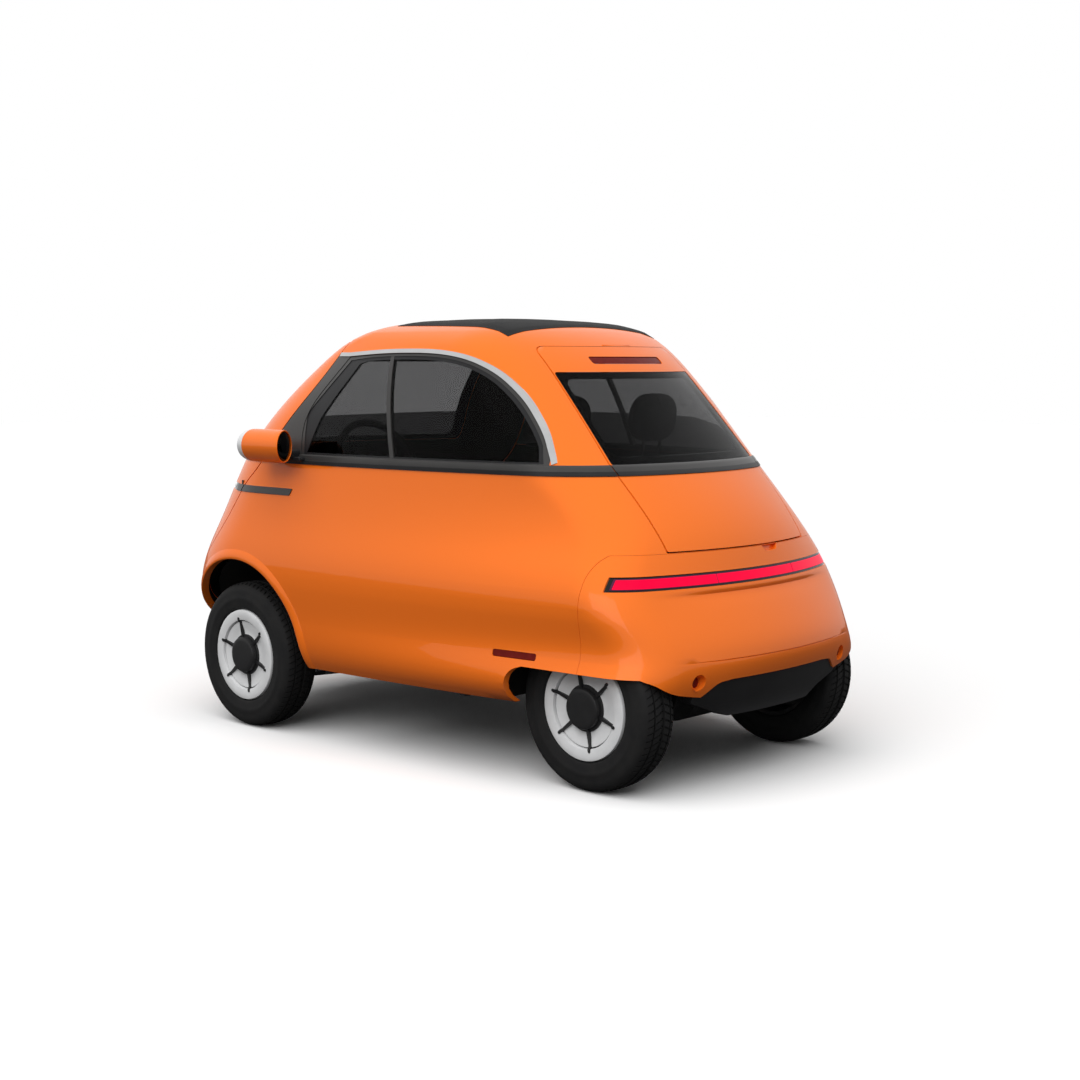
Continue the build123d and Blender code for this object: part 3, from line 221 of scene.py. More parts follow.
def coved(loop):
    """The loop with the tail's groove and the shallow cove below the light bar."""
    z = loop[0][2]
    if z <= COVE_Z[0] or z >= COVE_Z[-1]:
        return loop
    k = max(i for i in range(len(COVE_Z) - 1) if COVE_Z[i] <= z)
    t = (z - COVE_Z[k]) / (COVE_Z[k + 1] - COVE_Z[k])
    depth = COVE_DEPTH[k] * (1 - t) + COVE_DEPTH[k + 1] * t
    out = []
    for x, y, h in loop:
        near = min(max((COVE_HALF - abs(y)) / COVE_FADE, 0), 1)
        fade = near * near * (3 - 2 * near) if x < COVE_FRONT_X else 0
        out.append((x + depth * fade, y, h))
    return out


def dome_loops(drop=0.0):
    """Loops over the roof, from the last section to the middle."""
    loops = [[(x, y, h - drop) for x, y, _ in outline(RING_Z, inset)] for inset, h in DOME_INSETS]
    last = loops[-1]
    mid_x = (last[0][0] + last[len(last) // 2][0]) / 2
    for s, h in DOME_SCALES:
        loops.append([(mid_x + (x - mid_x) * s, y * s, h - drop) for x, y, _ in last])
    return loops


def steps_between(low, high, pitch):
    """Even steps from low to high, about a pitch apart."""
    count = max(1, round((high - low) / pitch))
    return [low + (high - low) * k / count for k in range(count + 1)]


def smooth_path(points, steps=6, share=0.45):
    """The line through the points with each of its corners eased."""
    out = [tuple(points[0])]
    for before, here, after in zip(points, points[1:], points[2:]):
        before, here, after = Vector(before), Vector(here), Vector(after)
        p, q = here + (before - here) * share, here + (after - here) * share
        for k in range(steps + 1):
            t = k / steps
            out.append(tuple(p * (1 - t) ** 2 + here * (2 * t * (1 - t)) + q * t * t))
    return out + [tuple(points[-1])]


def shifted(points, reach, closed=False):
    """The line moved sideways to its left by a reach."""
    out, n = [], len(points)
    for k in range(n):
        before = points[(k - 1) % n] if closed or k else points[0]
        after = points[(k + 1) % n] if closed or k < n - 1 else points[-1]
        here = Vector(points[k])
        a = (here - Vector(before)).normalized() if (here - Vector(before)).length > 1e-9 else None
        b = (Vector(after) - here).normalized() if (Vector(after) - here).length > 1e-9 else None
        a, b = a or b, b or a
        normal = Vector((-a.y - b.y, a.x + b.x)).normalized()
        stretch = max(0.5, normal.dot(Vector((-a.y, a.x))))
        out.append(tuple(here + normal * (reach / stretch)))
    return out


def rounded(points, steps=5):
    """A closed outline with its corners rounded; each point is (u, v, radius)."""
    out, n = [], len(points)
    for k in range(n):
        here = Vector(points[k][:2])
        before, after = Vector(points[k - 1][:2]), Vector(points[(k + 1) % n][:2])
        radius = points[k][2]
        if radius <= 0:
            out.append(tuple(here))
            continue
        a, b = (before - here), (after - here)
        half = a.angle(b) / 2
        reach = min(radius / math.tan(half), a.length * 0.48, b.length * 0.48)
        p, q = here + a.normalized() * reach, here + b.normalized() * reach
        for j in range(steps + 1):
            t = j / steps
            out.append(tuple(p * (1 - t) ** 2 + here * (2 * t * (1 - t)) + q * t * t))
    return out


def mirrored_outline(half, grow=0.0, corner=None):
    """A rear-view outline from its left half, grown and with its corners rounded."""
    pts = list(half) + [(-y, z, r) for y, z, r in reversed(half)]
    line = [(y, z) for y, z, _ in pts]
    if grow:
        line = shifted(line, grow * turn_of(line), closed=True)
    return rounded([(y, z, r if corner is None else corner) for (y, z), (_, _, r) in zip(line, pts)])


def turn_of(points):
    """-1 for an outline that runs anticlockwise, so that grow is outward."""
    area = sum(
        a[0] * b[1] - b[0] * a[1] for a, b in zip(points, points[1:] + points[:1])
    )
    return -1 if area > 0 else 1


# ---- mesh helpers --------------------------------------------------------------
def ring_mesh(loops, closed):
    """A mesh of loops round the body; closed joins the last loop to the first."""
    bm = bmesh.new()
    around, up = len(loops[0]), len(loops) - (0 if closed else 1)
    bmesh.ops.create_grid(bm, x_segments=around, y_segments=up, size=1)
    for v in bm.verts:
        i = round((v.co.x + 1) / 2 * around) % around
        j = round((v.co.y + 1) / 2 * up)
        v.co = loops[j % len(loops)][i]
    empty = [f for f in bm.faces if f.calc_area() < 1e-11]
    bmesh.ops.delete(bm, geom=empty, context="FACES")
    bmesh.ops.remove_doubles(bm, verts=bm.verts, dist=1e-6)
    bmesh.ops.dissolve_degenerate(bm, dist=1e-6, edges=bm.edges)
    return bm


def wall_mesh(profile):
    """A closed wall round the body from (height, inset) places of its section."""
    bm = ring_mesh([outline(z, inset) for z, inset in profile], True)
    bmesh.ops.recalc_face_normals(bm, faces=bm.faces)
    return bm


def flat_wall(low, high, out, depth, pitch=0.02):
    """A wall between two heights, from out to depth inside the body's face."""
    levels = steps_between(low, high, pitch)
    return wall_mesh([(z, out) for z in levels] + [(z, depth) for z in reversed(levels)])


def body_mesh():
    """The whole painted body with its inner lining, before it is cut in panels."""
    levels = sorted(steps_between(SILL_Z, RING_Z, 0.0235) + COVE_Z[1:] + [0.601, 0.618, 0.628])
    outer = [coved(outline(z)) for z in levels] + dome_loops()
    inner_levels = steps_between(SILL_Z, 1.42, 0.0235)
    inner = [outline(z, PANEL_DEPTH) for z in inner_levels]
    inner += dome_loops(PANEL_DEPTH)
    bm = ring_mesh(outer + inner[::-1], True)
    bmesh.ops.recalc_face_normals(bm, faces=bm.faces)
    middle = Vector((0.0, 0.0, 0.8))
    for f in bm.faces:
        inside = f.normal.dot(f.calc_center_median() - middle) < 0
        f.material_index = 1 if inside else 0
    return bm


def prism(points, axis, low, high):
    """A closed block with that outline; axis y takes (x, z) and axis x takes (y, z)."""
    bm = bmesh.new()

    def place(u, v):
        return (u, low, v) if axis == "y" else (low, u, v)

    face = bm.faces.new([bm.verts.new(place(*p)) for p in points])
    made = bmesh.ops.extrude_face_region(bm, geom=[face])
    moved = [g for g in made["geom"] if isinstance(g, bmesh.types.BMVert)]
    step = Vector((0, high - low, 0)) if axis == "y" else Vector((high - low, 0, 0))
    bmesh.ops.translate(bm, verts=moved, vec=step)
    bmesh.ops.recalc_face_normals(bm, faces=bm.faces)
    return bm


def side_cut(points, low=-1.0, high=1.0):
    """A side-view outline run across the car; x is ahead of the rear axle."""
    return prism([(along(x), z) for x, z in points], "y", low, high)


def left_cut(points):
    """A side-view outline run across the left half of the car."""
    return side_cut(points, 0.0, 1.0)


def rear_cut(points, front_x):
    """A rear-view outline run from behind the car to a place along it."""
    return prism(points, "x", along(REAR_CUT_X), along(front_x))


def box_mesh(x, y, z):
    """A box from its low and high places on each axis."""
    bm = bmesh.new()
    bmesh.ops.create_cube(bm, size=1)
    for v in bm.verts:
        v.co = (
            x[0] if v.co.x < 0 else x[1], y[0] if v.co.y < 0 else y[1],
            z[0] if v.co.z < 0 else z[1],
        )
    return bm


def tube_mesh(start, end, radius, steps=64):
    """A capped cylinder between two places."""
    bm = bmesh.new()
    a, b = Vector(start), Vector(end)
    bmesh.ops.create_cone(
        bm, cap_ends=True, segments=steps, radius1=radius, radius2=radius, depth=(b - a).length,
    )
    turn = Vector((0, 0, 1)).rotation_difference(b - a).to_matrix().to_4x4()
    bmesh.ops.transform(bm, matrix=Matrix.Translation((a + b) / 2) @ turn, verts=bm.verts)
    return bm


def turned_mesh(profile, centre, axis, steps):
    """A profile of (along the axis, radius) turned about an axis through centre."""
    bm = bmesh.new()
    axis = Vector(axis)
    out = Vector((0, 0, 1)) if abs(axis.z) < 0.5 else Vector((1, 0, 0))
    rim = [bm.verts.new(Vector(centre) + axis * w + out * r) for w, r in profile]
    on_axis = [a[1] == 0 and b[1] == 0 for a, b in zip(profile, profile[1:] + profile[:1])]
    pairs = list(zip(rim, rim[1:] + rim[:1]))
    edges = [bm.edges.new(p) for p, q in zip(pairs, on_axis) if not q]
    bmesh.ops.spin(
        bm, geom=rim + edges, cent=centre, axis=axis, angle=2 * math.pi, steps=steps,
        use_merge=True,
    )
    bmesh.ops.remove_doubles(bm, verts=bm.verts, dist=1e-6)
    bmesh.ops.dissolve_degenerate(bm, dist=1e-6, edges=bm.edges)
    bmesh.ops.recalc_face_normals(bm, faces=bm.faces)
    return bm


def rounded_box(x, y, z, radius, segments=3, only=None):
    """A box with rounded edges; only picks the edges along one axis."""
    bm = box_mesh(x, y, z)
    edges = bm.edges
    if only is not None:
        edges = [e for e in bm.edges
                 if abs((e.verts[0].co - e.verts[1].co).normalized()[only]) > 0.9]
    bmesh.ops.bevel(
        bm, geom=list(edges), offset=radius, offset_type="OFFSET", segments=segments,
        profile=0.5, affect="EDGES", material=-1,
    )
    return bm


def hidden_object(bm):
    """A scratch object of a mesh, which is used up."""
    mesh = bpy.data.meshes.new("cutter")
    bm.to_mesh(mesh)
    bm.free()
    obj = bpy.data.objects.new("cutter", mesh)
    scene.collection.objects.link(obj)
    return obj


def carved(bm, *cuts):
    """A mesh cut by closed blocks; each cut is ("KEEP" or "CUT", block)."""
    work = hidden_object(bm)
    blocks = []
    for kind, block in cuts:
        cutter = hidden_object(block)
        blocks.append(cutter)
        m = work.modifiers.new("cut", "BOOLEAN")
        m.operation = "INTERSECT" if kind == "KEEP" else "DIFFERENCE"
        m.solver = "EXACT"
        m.object = cutter
    view = bpy.context.evaluated_depsgraph_get()
    mesh = bpy.data.meshes.new_from_object(work.evaluated_get(view))
    out = bmesh.new()
    out.from_mesh(mesh)
    for obj in [work] + blocks:
        data = obj.data
        bpy.data.objects.remove(obj)
        bpy.data.meshes.remove(data)
    bpy.data.meshes.remove(mesh)
    bmesh.ops.remove_doubles(out, verts=out.verts, dist=0.0003)
    bmesh.ops.dissolve_degenerate(out, dist=0.0002, edges=out.edges)
    return out


def piece(name, bm, body, finishes, sharp=35, replaces=()):
    """Make a finished piece of a mesh and let it ride on a body."""
    mesh = bpy.data.meshes.new(name)
    bm.to_mesh(mesh)
    bm.free()
    for f in finishes if isinstance(finishes, (list, tuple)) else [finishes]:
        mesh.materials.append(f)
    mesh.shade_smooth()
    mesh.set_sharp_from_angle(angle=math.radians(sharp))
    obj = bpy.data.objects.new(name, mesh)
    scene.collection.objects.link(obj)
    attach(obj, body)
    if replaces:
        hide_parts(*replaces)
    return obj


def softened(obj, width=0.002, segments=2, angle=40):
    """The piece with its sharp edges eased."""
    m = obj.modifiers.new("edge", "BEVEL")
    m.width = width
    m.segments = segments
    m.limit_method = "ANGLE"
    m.angle_limit = math.radians(angle)
    m.harden_normals = True
    m.use_clamp_overlap = True
    return obj


def mirrored(bm):
    """The same mesh on the other side of the car."""
    other = bm.copy()
    bmesh.ops.scale(other, vec=(1, -1, 1), verts=other.verts)
    bmesh.ops.reverse_faces(other, faces=other.faces)
    return other


def joined(*meshes):
    """One mesh of several, which are used up."""
    out = bmesh.new()
    for bm in meshes:
        holder = bpy.data.meshes.new("part")
        bm.to_mesh(holder)
        out.from_mesh(holder)
        bpy.data.meshes.remove(holder)
        bm.free()
    return out


def both_sides(left):
    """A left mesh and its right twin in one mesh."""
    return joined(left, mirrored(left))


# ---- finishes --------------------------------------------------------------------
def finish(name, colour, roughness, metallic=0.0, coat=0.0, coat_roughness=0.03, grain=None,
           tint=None, sheen=0.0, specular=0.5, transmission=0.0, ior=1.45, glow=None):
    """A finish on object coordinates. grain is (scale, strength, depth) of its
    surface bump and tint is (scale, share, second colour) of its colour change."""
    mat = bpy.data.materials.new(name)
    mat.use_nodes = True
    nodes, links = mat.node_tree.nodes, mat.node_tree.links
    shader = nodes["Principled BSDF"]
    shader.inputs["Base Color"].default_value = (*colour, 1)
    shader.inputs["Roughness"].default_value = roughness
    shader.inputs["Metallic"].default_value = metallic
    shader.inputs["Coat Weight"].default_value = coat
    shader.inputs["Coat Roughness"].default_value = coat_roughness
    shader.inputs["Sheen Weight"].default_value = sheen
    shader.inputs["Specular IOR Level"].default_value = specular
    shader.inputs["Transmission Weight"].default_value = transmission
    shader.inputs["IOR"].default_value = ior
    if glow:
        shader.inputs["Emission Color"].default_value = (*glow[0], 1)
        shader.inputs["Emission Strength"].default_value = glow[1]
    where = nodes.new("ShaderNodeTexCoord")
    if grain:
        noise = nodes.new("ShaderNodeTexNoise")
        noise.inputs["Scale"].default_value = grain[0]
        noise.inputs["Detail"].default_value = 4
        bump = nodes.new("ShaderNodeBump")
        bump.inputs["Strength"].default_value = grain[1]
        bump.inputs["Distance"].default_value = grain[2]
        links.new(where.outputs["Object"], noise.inputs["Vector"])
        links.new(noise.outputs["Fac"], bump.inputs["Height"])
        links.new(bump.outputs["Normal"], shader.inputs["Normal"])
    if tint:
        noise = nodes.new("ShaderNodeTexNoise")
        noise.inputs["Scale"].default_value = tint[0]
        noise.inputs["Detail"].default_value = 3
        mix = nodes.new("ShaderNodeMix")
        mix.data_type = "RGBA"
        ramp = nodes.new("ShaderNodeMapRange")
        ramp.inputs["From Min"].default_value = 0.35
        ramp.inputs["From Max"].default_value = 0.65
        ramp.inputs["To Max"].default_value = tint[1]
        mix.inputs["A"].default_value = (*colour, 1)
        mix.inputs["B"].default_value = (*tint[2], 1)
        links.new(where.outputs["Object"], noise.inputs["Vector"])
        links.new(noise.outputs["Fac"], ramp.inputs["Value"])
        links.new(ramp.outputs["Result"], mix.inputs["Factor"])
        links.new(mix.outputs["Result"], shader.inputs["Base Color"])
    return mat


PAINT = finish("orange_body_paint", (0.95, 0.182, 0.012), 0.38, metallic=0.12, coat=0.40,
               coat_roughness=0.02, specular=0.12, grain=(420, 0.012, 0.001),
               tint=(900, 0.5, (0.96, 0.195, 0.014)))
LINING = finish("black_lining", (0.009, 0.009, 0.010), 0.8, specular=0.15, grain=(700, 0.25, 0.0006),
                tint=(3, 0.6, (0.014, 0.014, 0.015)))
TRIM = finish("black_trim", (0.013, 0.013, 0.014), 0.45, specular=0.25, grain=(1400, 0.12, 0.0004),
              tint=(9, 0.5, (0.020, 0.020, 0.021)))
SATIN = finish("satin_black", (0.035, 0.034, 0.033), 0.32, specular=0.4, grain=(900, 0.05, 0.0004),
               tint=(5, 0.5, (0.046, 0.044, 0.043)))
GLOSS = finish("black_gloss", (0.004, 0.004, 0.0045), 0.08, specular=0.35, grain=(60, 0.01, 0.001),
               tint=(6, 0.4, (0.007, 0.007, 0.0075)))
GLASS = finish("tinted_glass", (0.305, 0.305, 0.307), 0.0, specular=0.3, transmission=1.0, ior=1.12,
               tint=(2.5, 0.3, (0.285, 0.285, 0.287)))
REAR_GLASS = finish("dark_tinted_glass", (0.20, 0.20, 0.202), 0.0, specular=0.3, transmission=1.0,
                    ior=1.12, tint=(2.5, 0.3, (0.185, 0.185, 0.187)))
CHROME = finish("bright_trim", (0.56, 0.565, 0.57), 0.16, metallic=1.0, grain=(240, 0.02, 0.0005),
                tint=(14, 0.5, (0.48, 0.485, 0.49)))
TYRE = finish("tyre_rubber", (0.012, 0.012, 0.0125), 0.66, specular=0.2, grain=(1500, 0.2, 0.0004),
              tint=(22, 0.6, (0.019, 0.0185, 0.018)))
COVER = finish("white_cover", (0.80, 0.805, 0.81), 0.36, specular=0.4, grain=(900, 0.04, 0.0004),
               tint=(16, 0.5, (0.66, 0.665, 0.67)))
CAP = finish("black_cap", (0.014, 0.014, 0.0145), 0.4, specular=0.3, grain=(1100, 0.10, 0.0004),
             tint=(20, 0.5, (0.021, 0.021, 0.022)))
STEEL = finish("dark_steel", (0.030, 0.030, 0.031), 0.5, metallic=0.6, specular=0.2,
               grain=(500, 0.15, 0.0005), tint=(18, 0.7, (0.05, 0.048, 0.046)))
UNDERBODY = finish("underbody_coat", (0.010, 0.010, 0.010), 0.85, specular=0.12, grain=(320, 0.4, 0.001),
                   tint=(7, 0.7, (0.022, 0.020, 0.018)))
BATTERY = finish("battery_case", (0.035, 0.035, 0.037), 0.55, metallic=0.4, specular=0.2,
                 grain=(260, 0.2, 0.0006), tint=(8, 0.6, (0.05, 0.05, 0.052)))
MOTOR = finish("cast_motor_case", (0.045, 0.045, 0.046), 0.5, metallic=0.7, specular=0.2,
               grain=(650, 0.35, 0.0008), tint=(12, 0.6, (0.065, 0.065, 0.066)))
RED_GLOW = finish("tail_glow", (0.16, 0.0, 0.01), 0.3, specular=0.08, glow=((0.92, 0.0, 0.042), 1.0),
                  tint=(30, 0.3, (0.22, 0.004, 0.02)))
VIOLET_LENS = finish("violet_lens", (0.075, 0.012, 0.050), 0.2, specular=0.2, grain=(160, 0.05, 0.001),
                     tint=(40, 0.5, (0.11, 0.016, 0.065)))
RED_LENS = finish("red_lens", (0.125, 0.009, 0.007), 0.25, specular=0.06, grain=(160, 0.1, 0.001),
                  tint=(50, 0.6, (0.18, 0.014, 0.010)))
LAMP = finish("lamp_lens", (0.80, 0.82, 0.84), 0.08, coat=1.0, grain=(180, 0.08, 0.001),
              tint=(35, 0.5, (0.62, 0.64, 0.67)))
MIRROR = finish("mirror_face", (0.030, 0.030, 0.032), 0.03, metallic=1.0,
                tint=(4, 0.3, (0.045, 0.045, 0.048)))
FABRIC = finish("roof_cloth", (0.022, 0.022, 0.022), 0.9, specular=0.2, sheen=0.05,
                grain=(1800, 0.3, 0.0008), tint=(40, 0.6, (0.022, 0.022, 0.023)))
SEAT = finish("seat_cloth", (0.010, 0.010, 0.011), 0.92, specular=0.08, sheen=0.02,
              grain=(1500, 0.35, 0.0008), tint=(60, 0.6, (0.03, 0.03, 0.032)))
PLASTIC = finish("cabin_plastic", (0.014, 0.014, 0.015), 0.6, specular=0.2, grain=(900, 0.25, 0.0005),
                 tint=(10, 0.5, (0.03, 0.03, 0.031)))

NODE_FINISH = {
    "floor_pan": UNDERBODY, "boot_floor": PLASTIC, "front_wheel_liners": UNDERBODY,
    "rear_wheel_liners": UNDERBODY, "jack_pads": TRIM, "battery_pack": BATTERY,
    "motor_block": MOTOR, "rear_axle": STEEL, "front_suspension": STEEL, "left_knuckle": STEEL,
    "right_knuckle": STEEL, "door_hinge_pin": STEEL, "hatch_hinge_pin": PAINT, "dash_bar": PLASTIC,
    "steering_column": PLASTIC, "steering_wheel": PLASTIC, "pedals": STEEL,
}
for node, mat in NODE_FINISH.items():
    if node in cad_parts:
        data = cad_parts[node].data
        data.materials.clear()
        data.materials.append(mat)
        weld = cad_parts[node].modifiers.new("weld", "WELD")
        weld.merge_threshold = 1e-5
        softened(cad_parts[node], 0.0015)

# ---- body panels -----------------------------------------------------------------
door_line = smooth_path([(x - 0.0035, z) for x, z in DOOR_EDGE], 5)
far = [(FAR_FRONT, DOOR_FOOT_Z), (FAR_FRONT, DOOR_HEAD_Z)]
door_region = door_line + far
door_cut_region = shifted(door_line, SHUT_GAP * turn_of(door_region))
door_cut_region = (
    [(door_cut_region[0][0], DOOR_HEAD_Z + DOOR_ROOM)] + door_cut_region
    + [(door_line[-1][0] - DOOR_ROOM, DOOR_FOOT_Z - DOOR_ROOM)]
    + [(FAR_FRONT, DOOR_FOOT_Z - DOOR_ROOM), (FAR_FRONT, DOOR_HEAD_Z + DOOR_ROOM)]
)
bumper_line = smooth_path(BUMPER_EDGE, 4)
bumper_region = bumper_line + [(FAR_REAR, BELOW_SILL_Z), (FAR_REAR, 0.752)]
bumper_cut_region = [(x + PANEL_GAP, z + PANEL_GAP * 0.5) for x, z in bumper_line]
bumper_cut_region += [(FAR_REAR, BELOW_SILL_Z), (FAR_REAR, 0.753)]
arch_region = smooth_path(REAR_ARCH[:4], 4) + smooth_path(REAR_ARCH[4:], 4)
arch_region += [(FAR_REAR, 0.30), (FAR_REAR, BELOW_SILL_Z)]
front_bumper_region = [(1.8, 0.412), (1.8, BELOW_SILL_Z), (FAR_FRONT, BELOW_SILL_Z), (FAR_FRONT, 0.412)]
window_line = smooth_path(WINDOW_ARCH, 6)
pillar_line = smooth_path(WINDOW_PILLAR, 4)
window_region = window_line + [(0.184, 1.006)] + pillar_line[:-1]


def hatch_block(grow):
    """The hatch's room, grown at its sides and foot and a little at its head."""
    half = HATCH_HALF
    if grow:
        half = [(y + grow, z - grow if z < 0.8 else z + (0.0012 if z > 1.35 else 0), r)
                for y, z, r in half]
    return rear_cut(mirrored_outline(half), HATCH_FRONT_X)


def wells():
    """The round openings over the front wheels."""
    return [
        ("CUT", tube_mesh((FRONT_AXLE, s * 0.45, AXLE_Z), (FRONT_AXLE, s * 1.0, AXLE_Z), FRONT_ARCH, 120))
        for s in (1, -1)
    ]


whole_body = body_mesh()
TWO_TONE = [PAINT, LINING]
LEFT = box_mesh((-2, 2), (0, 2), (0, BELT_Z))

roof = carved(
    whole_body.copy(), ("KEEP", box_mesh((-2, 2), (-2, 2), (BELT_Z + 0.0003, 2))),
    ("CUT", side_cut(door_cut_region)), ("CUT", hatch_block(SHUT_GAP)),
    ("CUT", side_cut(window_region)),
    ("CUT", side_cut([(1.15, 1.3738), (1.60, 1.3738), (1.60, 0.9), (1.15, 0.9)])),
)
softened(piece("roof_panel", roof, "root", TWO_TONE, replaces=["roof_shell"]))

marker_line = rounded([(0.130, 0.4125, 0.008), (0.302, 0.4125, 0.008), (0.302, 0.4355, 0.008),
                       (0.130, 0.4355, 0.008)])
left_side = carved(
    whole_body.copy(), ("KEEP", LEFT), ("CUT", side_cut(marker_line)), ("CUT", side_cut(door_cut_region)),
    ("CUT", hatch_block(SHUT_GAP)),
    wells()[0], ("CUT", side_cut(arch_region)), ("CUT", side_cut(bumper_cut_region)),
    ("CUT", side_cut([(x, z + (0.001 if z > 0.4 else 0)) for x, z in front_bumper_region])),
)
right_side = mirrored(left_side)
softened(piece("left_flank", left_side, "root", TWO_TONE, replaces=["left_side_panel"]))
softened(piece("right_flank", right_side, "root", TWO_TONE, replaces=["right_side_panel"]))

diffuser_cut = rear_cut(mirrored_outline(DIFFUSER_HALF), 0.1)
bar_pocket = box_mesh((-2, along(-0.100)), (-1, 1), (0.646, 0.690))
notch = rear_cut(
    rounded([(-0.146, 0.762, 0), (-0.044, 0.762, 0), (-0.062, 0.7340, 0.014), (-0.128, 0.7340, 0.014)]),
    0.1,
)
tail = carved(
    whole_body.copy(), ("KEEP", side_cut(bumper_region)), ("CUT", hatch_block(SHUT_GAP)),
    ("CUT", side_cut(arch_region)), ("CUT", diffuser_cut), ("CUT", bar_pocket), ("CUT", notch),
    *[("CUT", tube_mesh((-2, s * 0.382, 0.368), (along(-0.2970), s * 0.382, 0.368), 0.0255, 48))
      for s in (1, -1)],
)
softened(piece("tail_panel", tail, "root", TWO_TONE, replaces=["rear_bumper"]))

nose = carved(whole_body.copy(), ("KEEP", side_cut(front_bumper_region)), *wells())
softened(piece("nose_panel", nose, "root", TWO_TONE, replaces=["front_bumper"]))

screen_line = mirrored_outline(WINDSCREEN_HALF)
front_pocket = box_mesh((along(1.652), 3), (-1, 1), (0.872, 0.898))
door = carved(
    whole_body.copy(), ("KEEP", side_cut(door_region)), *wells(),
    ("CUT", prism(screen_line, "x", along(1.10), along(2.4))), ("CUT", front_pocket),
)
softened(piece("door_panel", door, "front_door", TWO_TONE, replaces=["front_door"]))

glass_line = mirrored_outline(REAR_GLASS_HALF)
brake_line = rounded([(-0.182, 1.3395, 0.010), (0.182, 1.3395, 0.010), (0.182, 1.3640, 0.010),
                      (-0.182, 1.3640, 0.010)])
lid = carved(
    whole_body.copy(), ("KEEP", hatch_block(0)), ("CUT", rear_cut(brake_line, 0.5)),
    ("CUT", rear_cut(glass_line, HATCH_FRONT_X)),
)
softened(piece("hatch_panel", lid, "hatch", TWO_TONE, replaces=["hatch"]))

diffuser_keep = rear_cut(
    mirrored_outline([(0.285, 0.372, 0.04), (0.335, 0.357, 0.04), (0.386, 0.322, 0.010),
                      (0.384, 0.300, 0.015), (0.215, 0.238, 0.06)]),
    0.1,
)
softened(piece(
    "diffuser_panel", carved(flat_wall(0.230, 0.380, 0.007, 0.045), ("KEEP", diffuser_keep)),
    "root", TRIM, replaces=["diffuser"]), 0.004, 3)

# ---- glass -------------------------------------------------------------------------
for name, node, body, mat, half, low, high, x, face in (
    ("screen", "windscreen", "front_door", GLASS, WINDSCREEN_HALF, 1.01, 1.39, (1.10, 2.4), 0.006),
    ("hatch", "rear_window", "hatch", REAR_GLASS, REAR_GLASS_HALF, 1.01, 1.32,
     (REAR_CUT_X, HATCH_FRONT_X), 0.0015),
):
    reach = (along(x[0]), along(x[1]))
    inner = mirrored_outline(half, -0.0005)
    opening = mirrored_outline(half, -0.024, 0.030)
    pane = carved(flat_wall(low, high, face, face + 0.005), ("KEEP", prism(inner, "x", *reach)))
    piece(f"{name}_glass", pane, body, mat, replaces=[node])
    rim = carved(
        flat_wall(low, high, face + 0.0053, 0.0238), ("KEEP", prism(inner, "x", *reach)),
        ("CUT", prism(opening, "x", *reach)),
    )
    piece(f"{name}_glass_border", rim, body, GLOSS)


def bar_outline(half):
    return [(0.803 - half, 1.0), (0.803 + half, 1.0), (0.920 + half, 1.4), (0.920 - half, 1.4)]


window_seat = shifted(window_region, -0.0004 * turn_of(window_region), closed=True)
pane_line = shifted(window_line, -0.011 * turn_of(window_region))
pane_region = (
    [p for p in pane_line if 0.212 < p[0] < 1.13] + [(0.205, 1.022), (1.250, 1.022), (1.274, 1.165)]
    + [(1.140, 1.352)]
)
left_frame = carved(
    flat_wall(*WINDOW_WALL_Z, 0.002, 0.026), ("KEEP", left_cut(window_seat)), ("CUT", side_cut(pane_region))
)
left_bar = carved(
    flat_wall(*WINDOW_WALL_Z, 0.003, 0.020), ("KEEP", left_cut(window_seat)),
    ("KEEP", side_cut(bar_outline(0.009))),
)
piece("window_surrounds", both_sides(joined(left_frame, left_bar)), "root", SATIN,
      replaces=["window_frames"])
clear_view = [p for p in shifted(pane_line, -0.012 * turn_of(window_region)) if 0.222 < p[0] < 1.06]
clear_view += [(0.222, 1.0275), (1.238, 1.0275), (1.196, 1.150), (1.080, 1.340)]
left_seal = carved(
    flat_wall(*WINDOW_WALL_Z, 0.0045, 0.018),
    ("KEEP", left_cut(shifted(pane_region, 0.0005 * turn_of(pane_region), closed=True))),
    ("CUT", side_cut(clear_view)),
)
piece("window_seals", both_sides(left_seal), "root", TRIM)
left_pane = carved(
    flat_wall(1.010, 1.37, 0.006, 0.010),
    ("KEEP", left_cut(shifted(pane_region, 0.004 * turn_of(pane_region), closed=True))),
    ("CUT", side_cut(bar_outline(0.008))),
)
piece("window_panes", both_sides(left_pane), "root", GLASS, replaces=["side_windows"])

pillar_region = shifted(pillar_line, 0.0004 * turn_of(window_region))
pillar_region += [(1.150, PILLAR_HEAD_Z), (1.60, PILLAR_HEAD_Z), (1.60, WINDOW_WALL_Z[0])]
left_pillar = carved(
    flat_wall(WINDOW_WALL_Z[0], PILLAR_HEAD_Z, 0.0, 0.024), ("KEEP", left_cut(pillar_region)),
    ("CUT", side_cut(door_cut_region)),
)
softened(piece("pillar_covers", both_sides(left_pillar), "root", SATIN), 0.001)

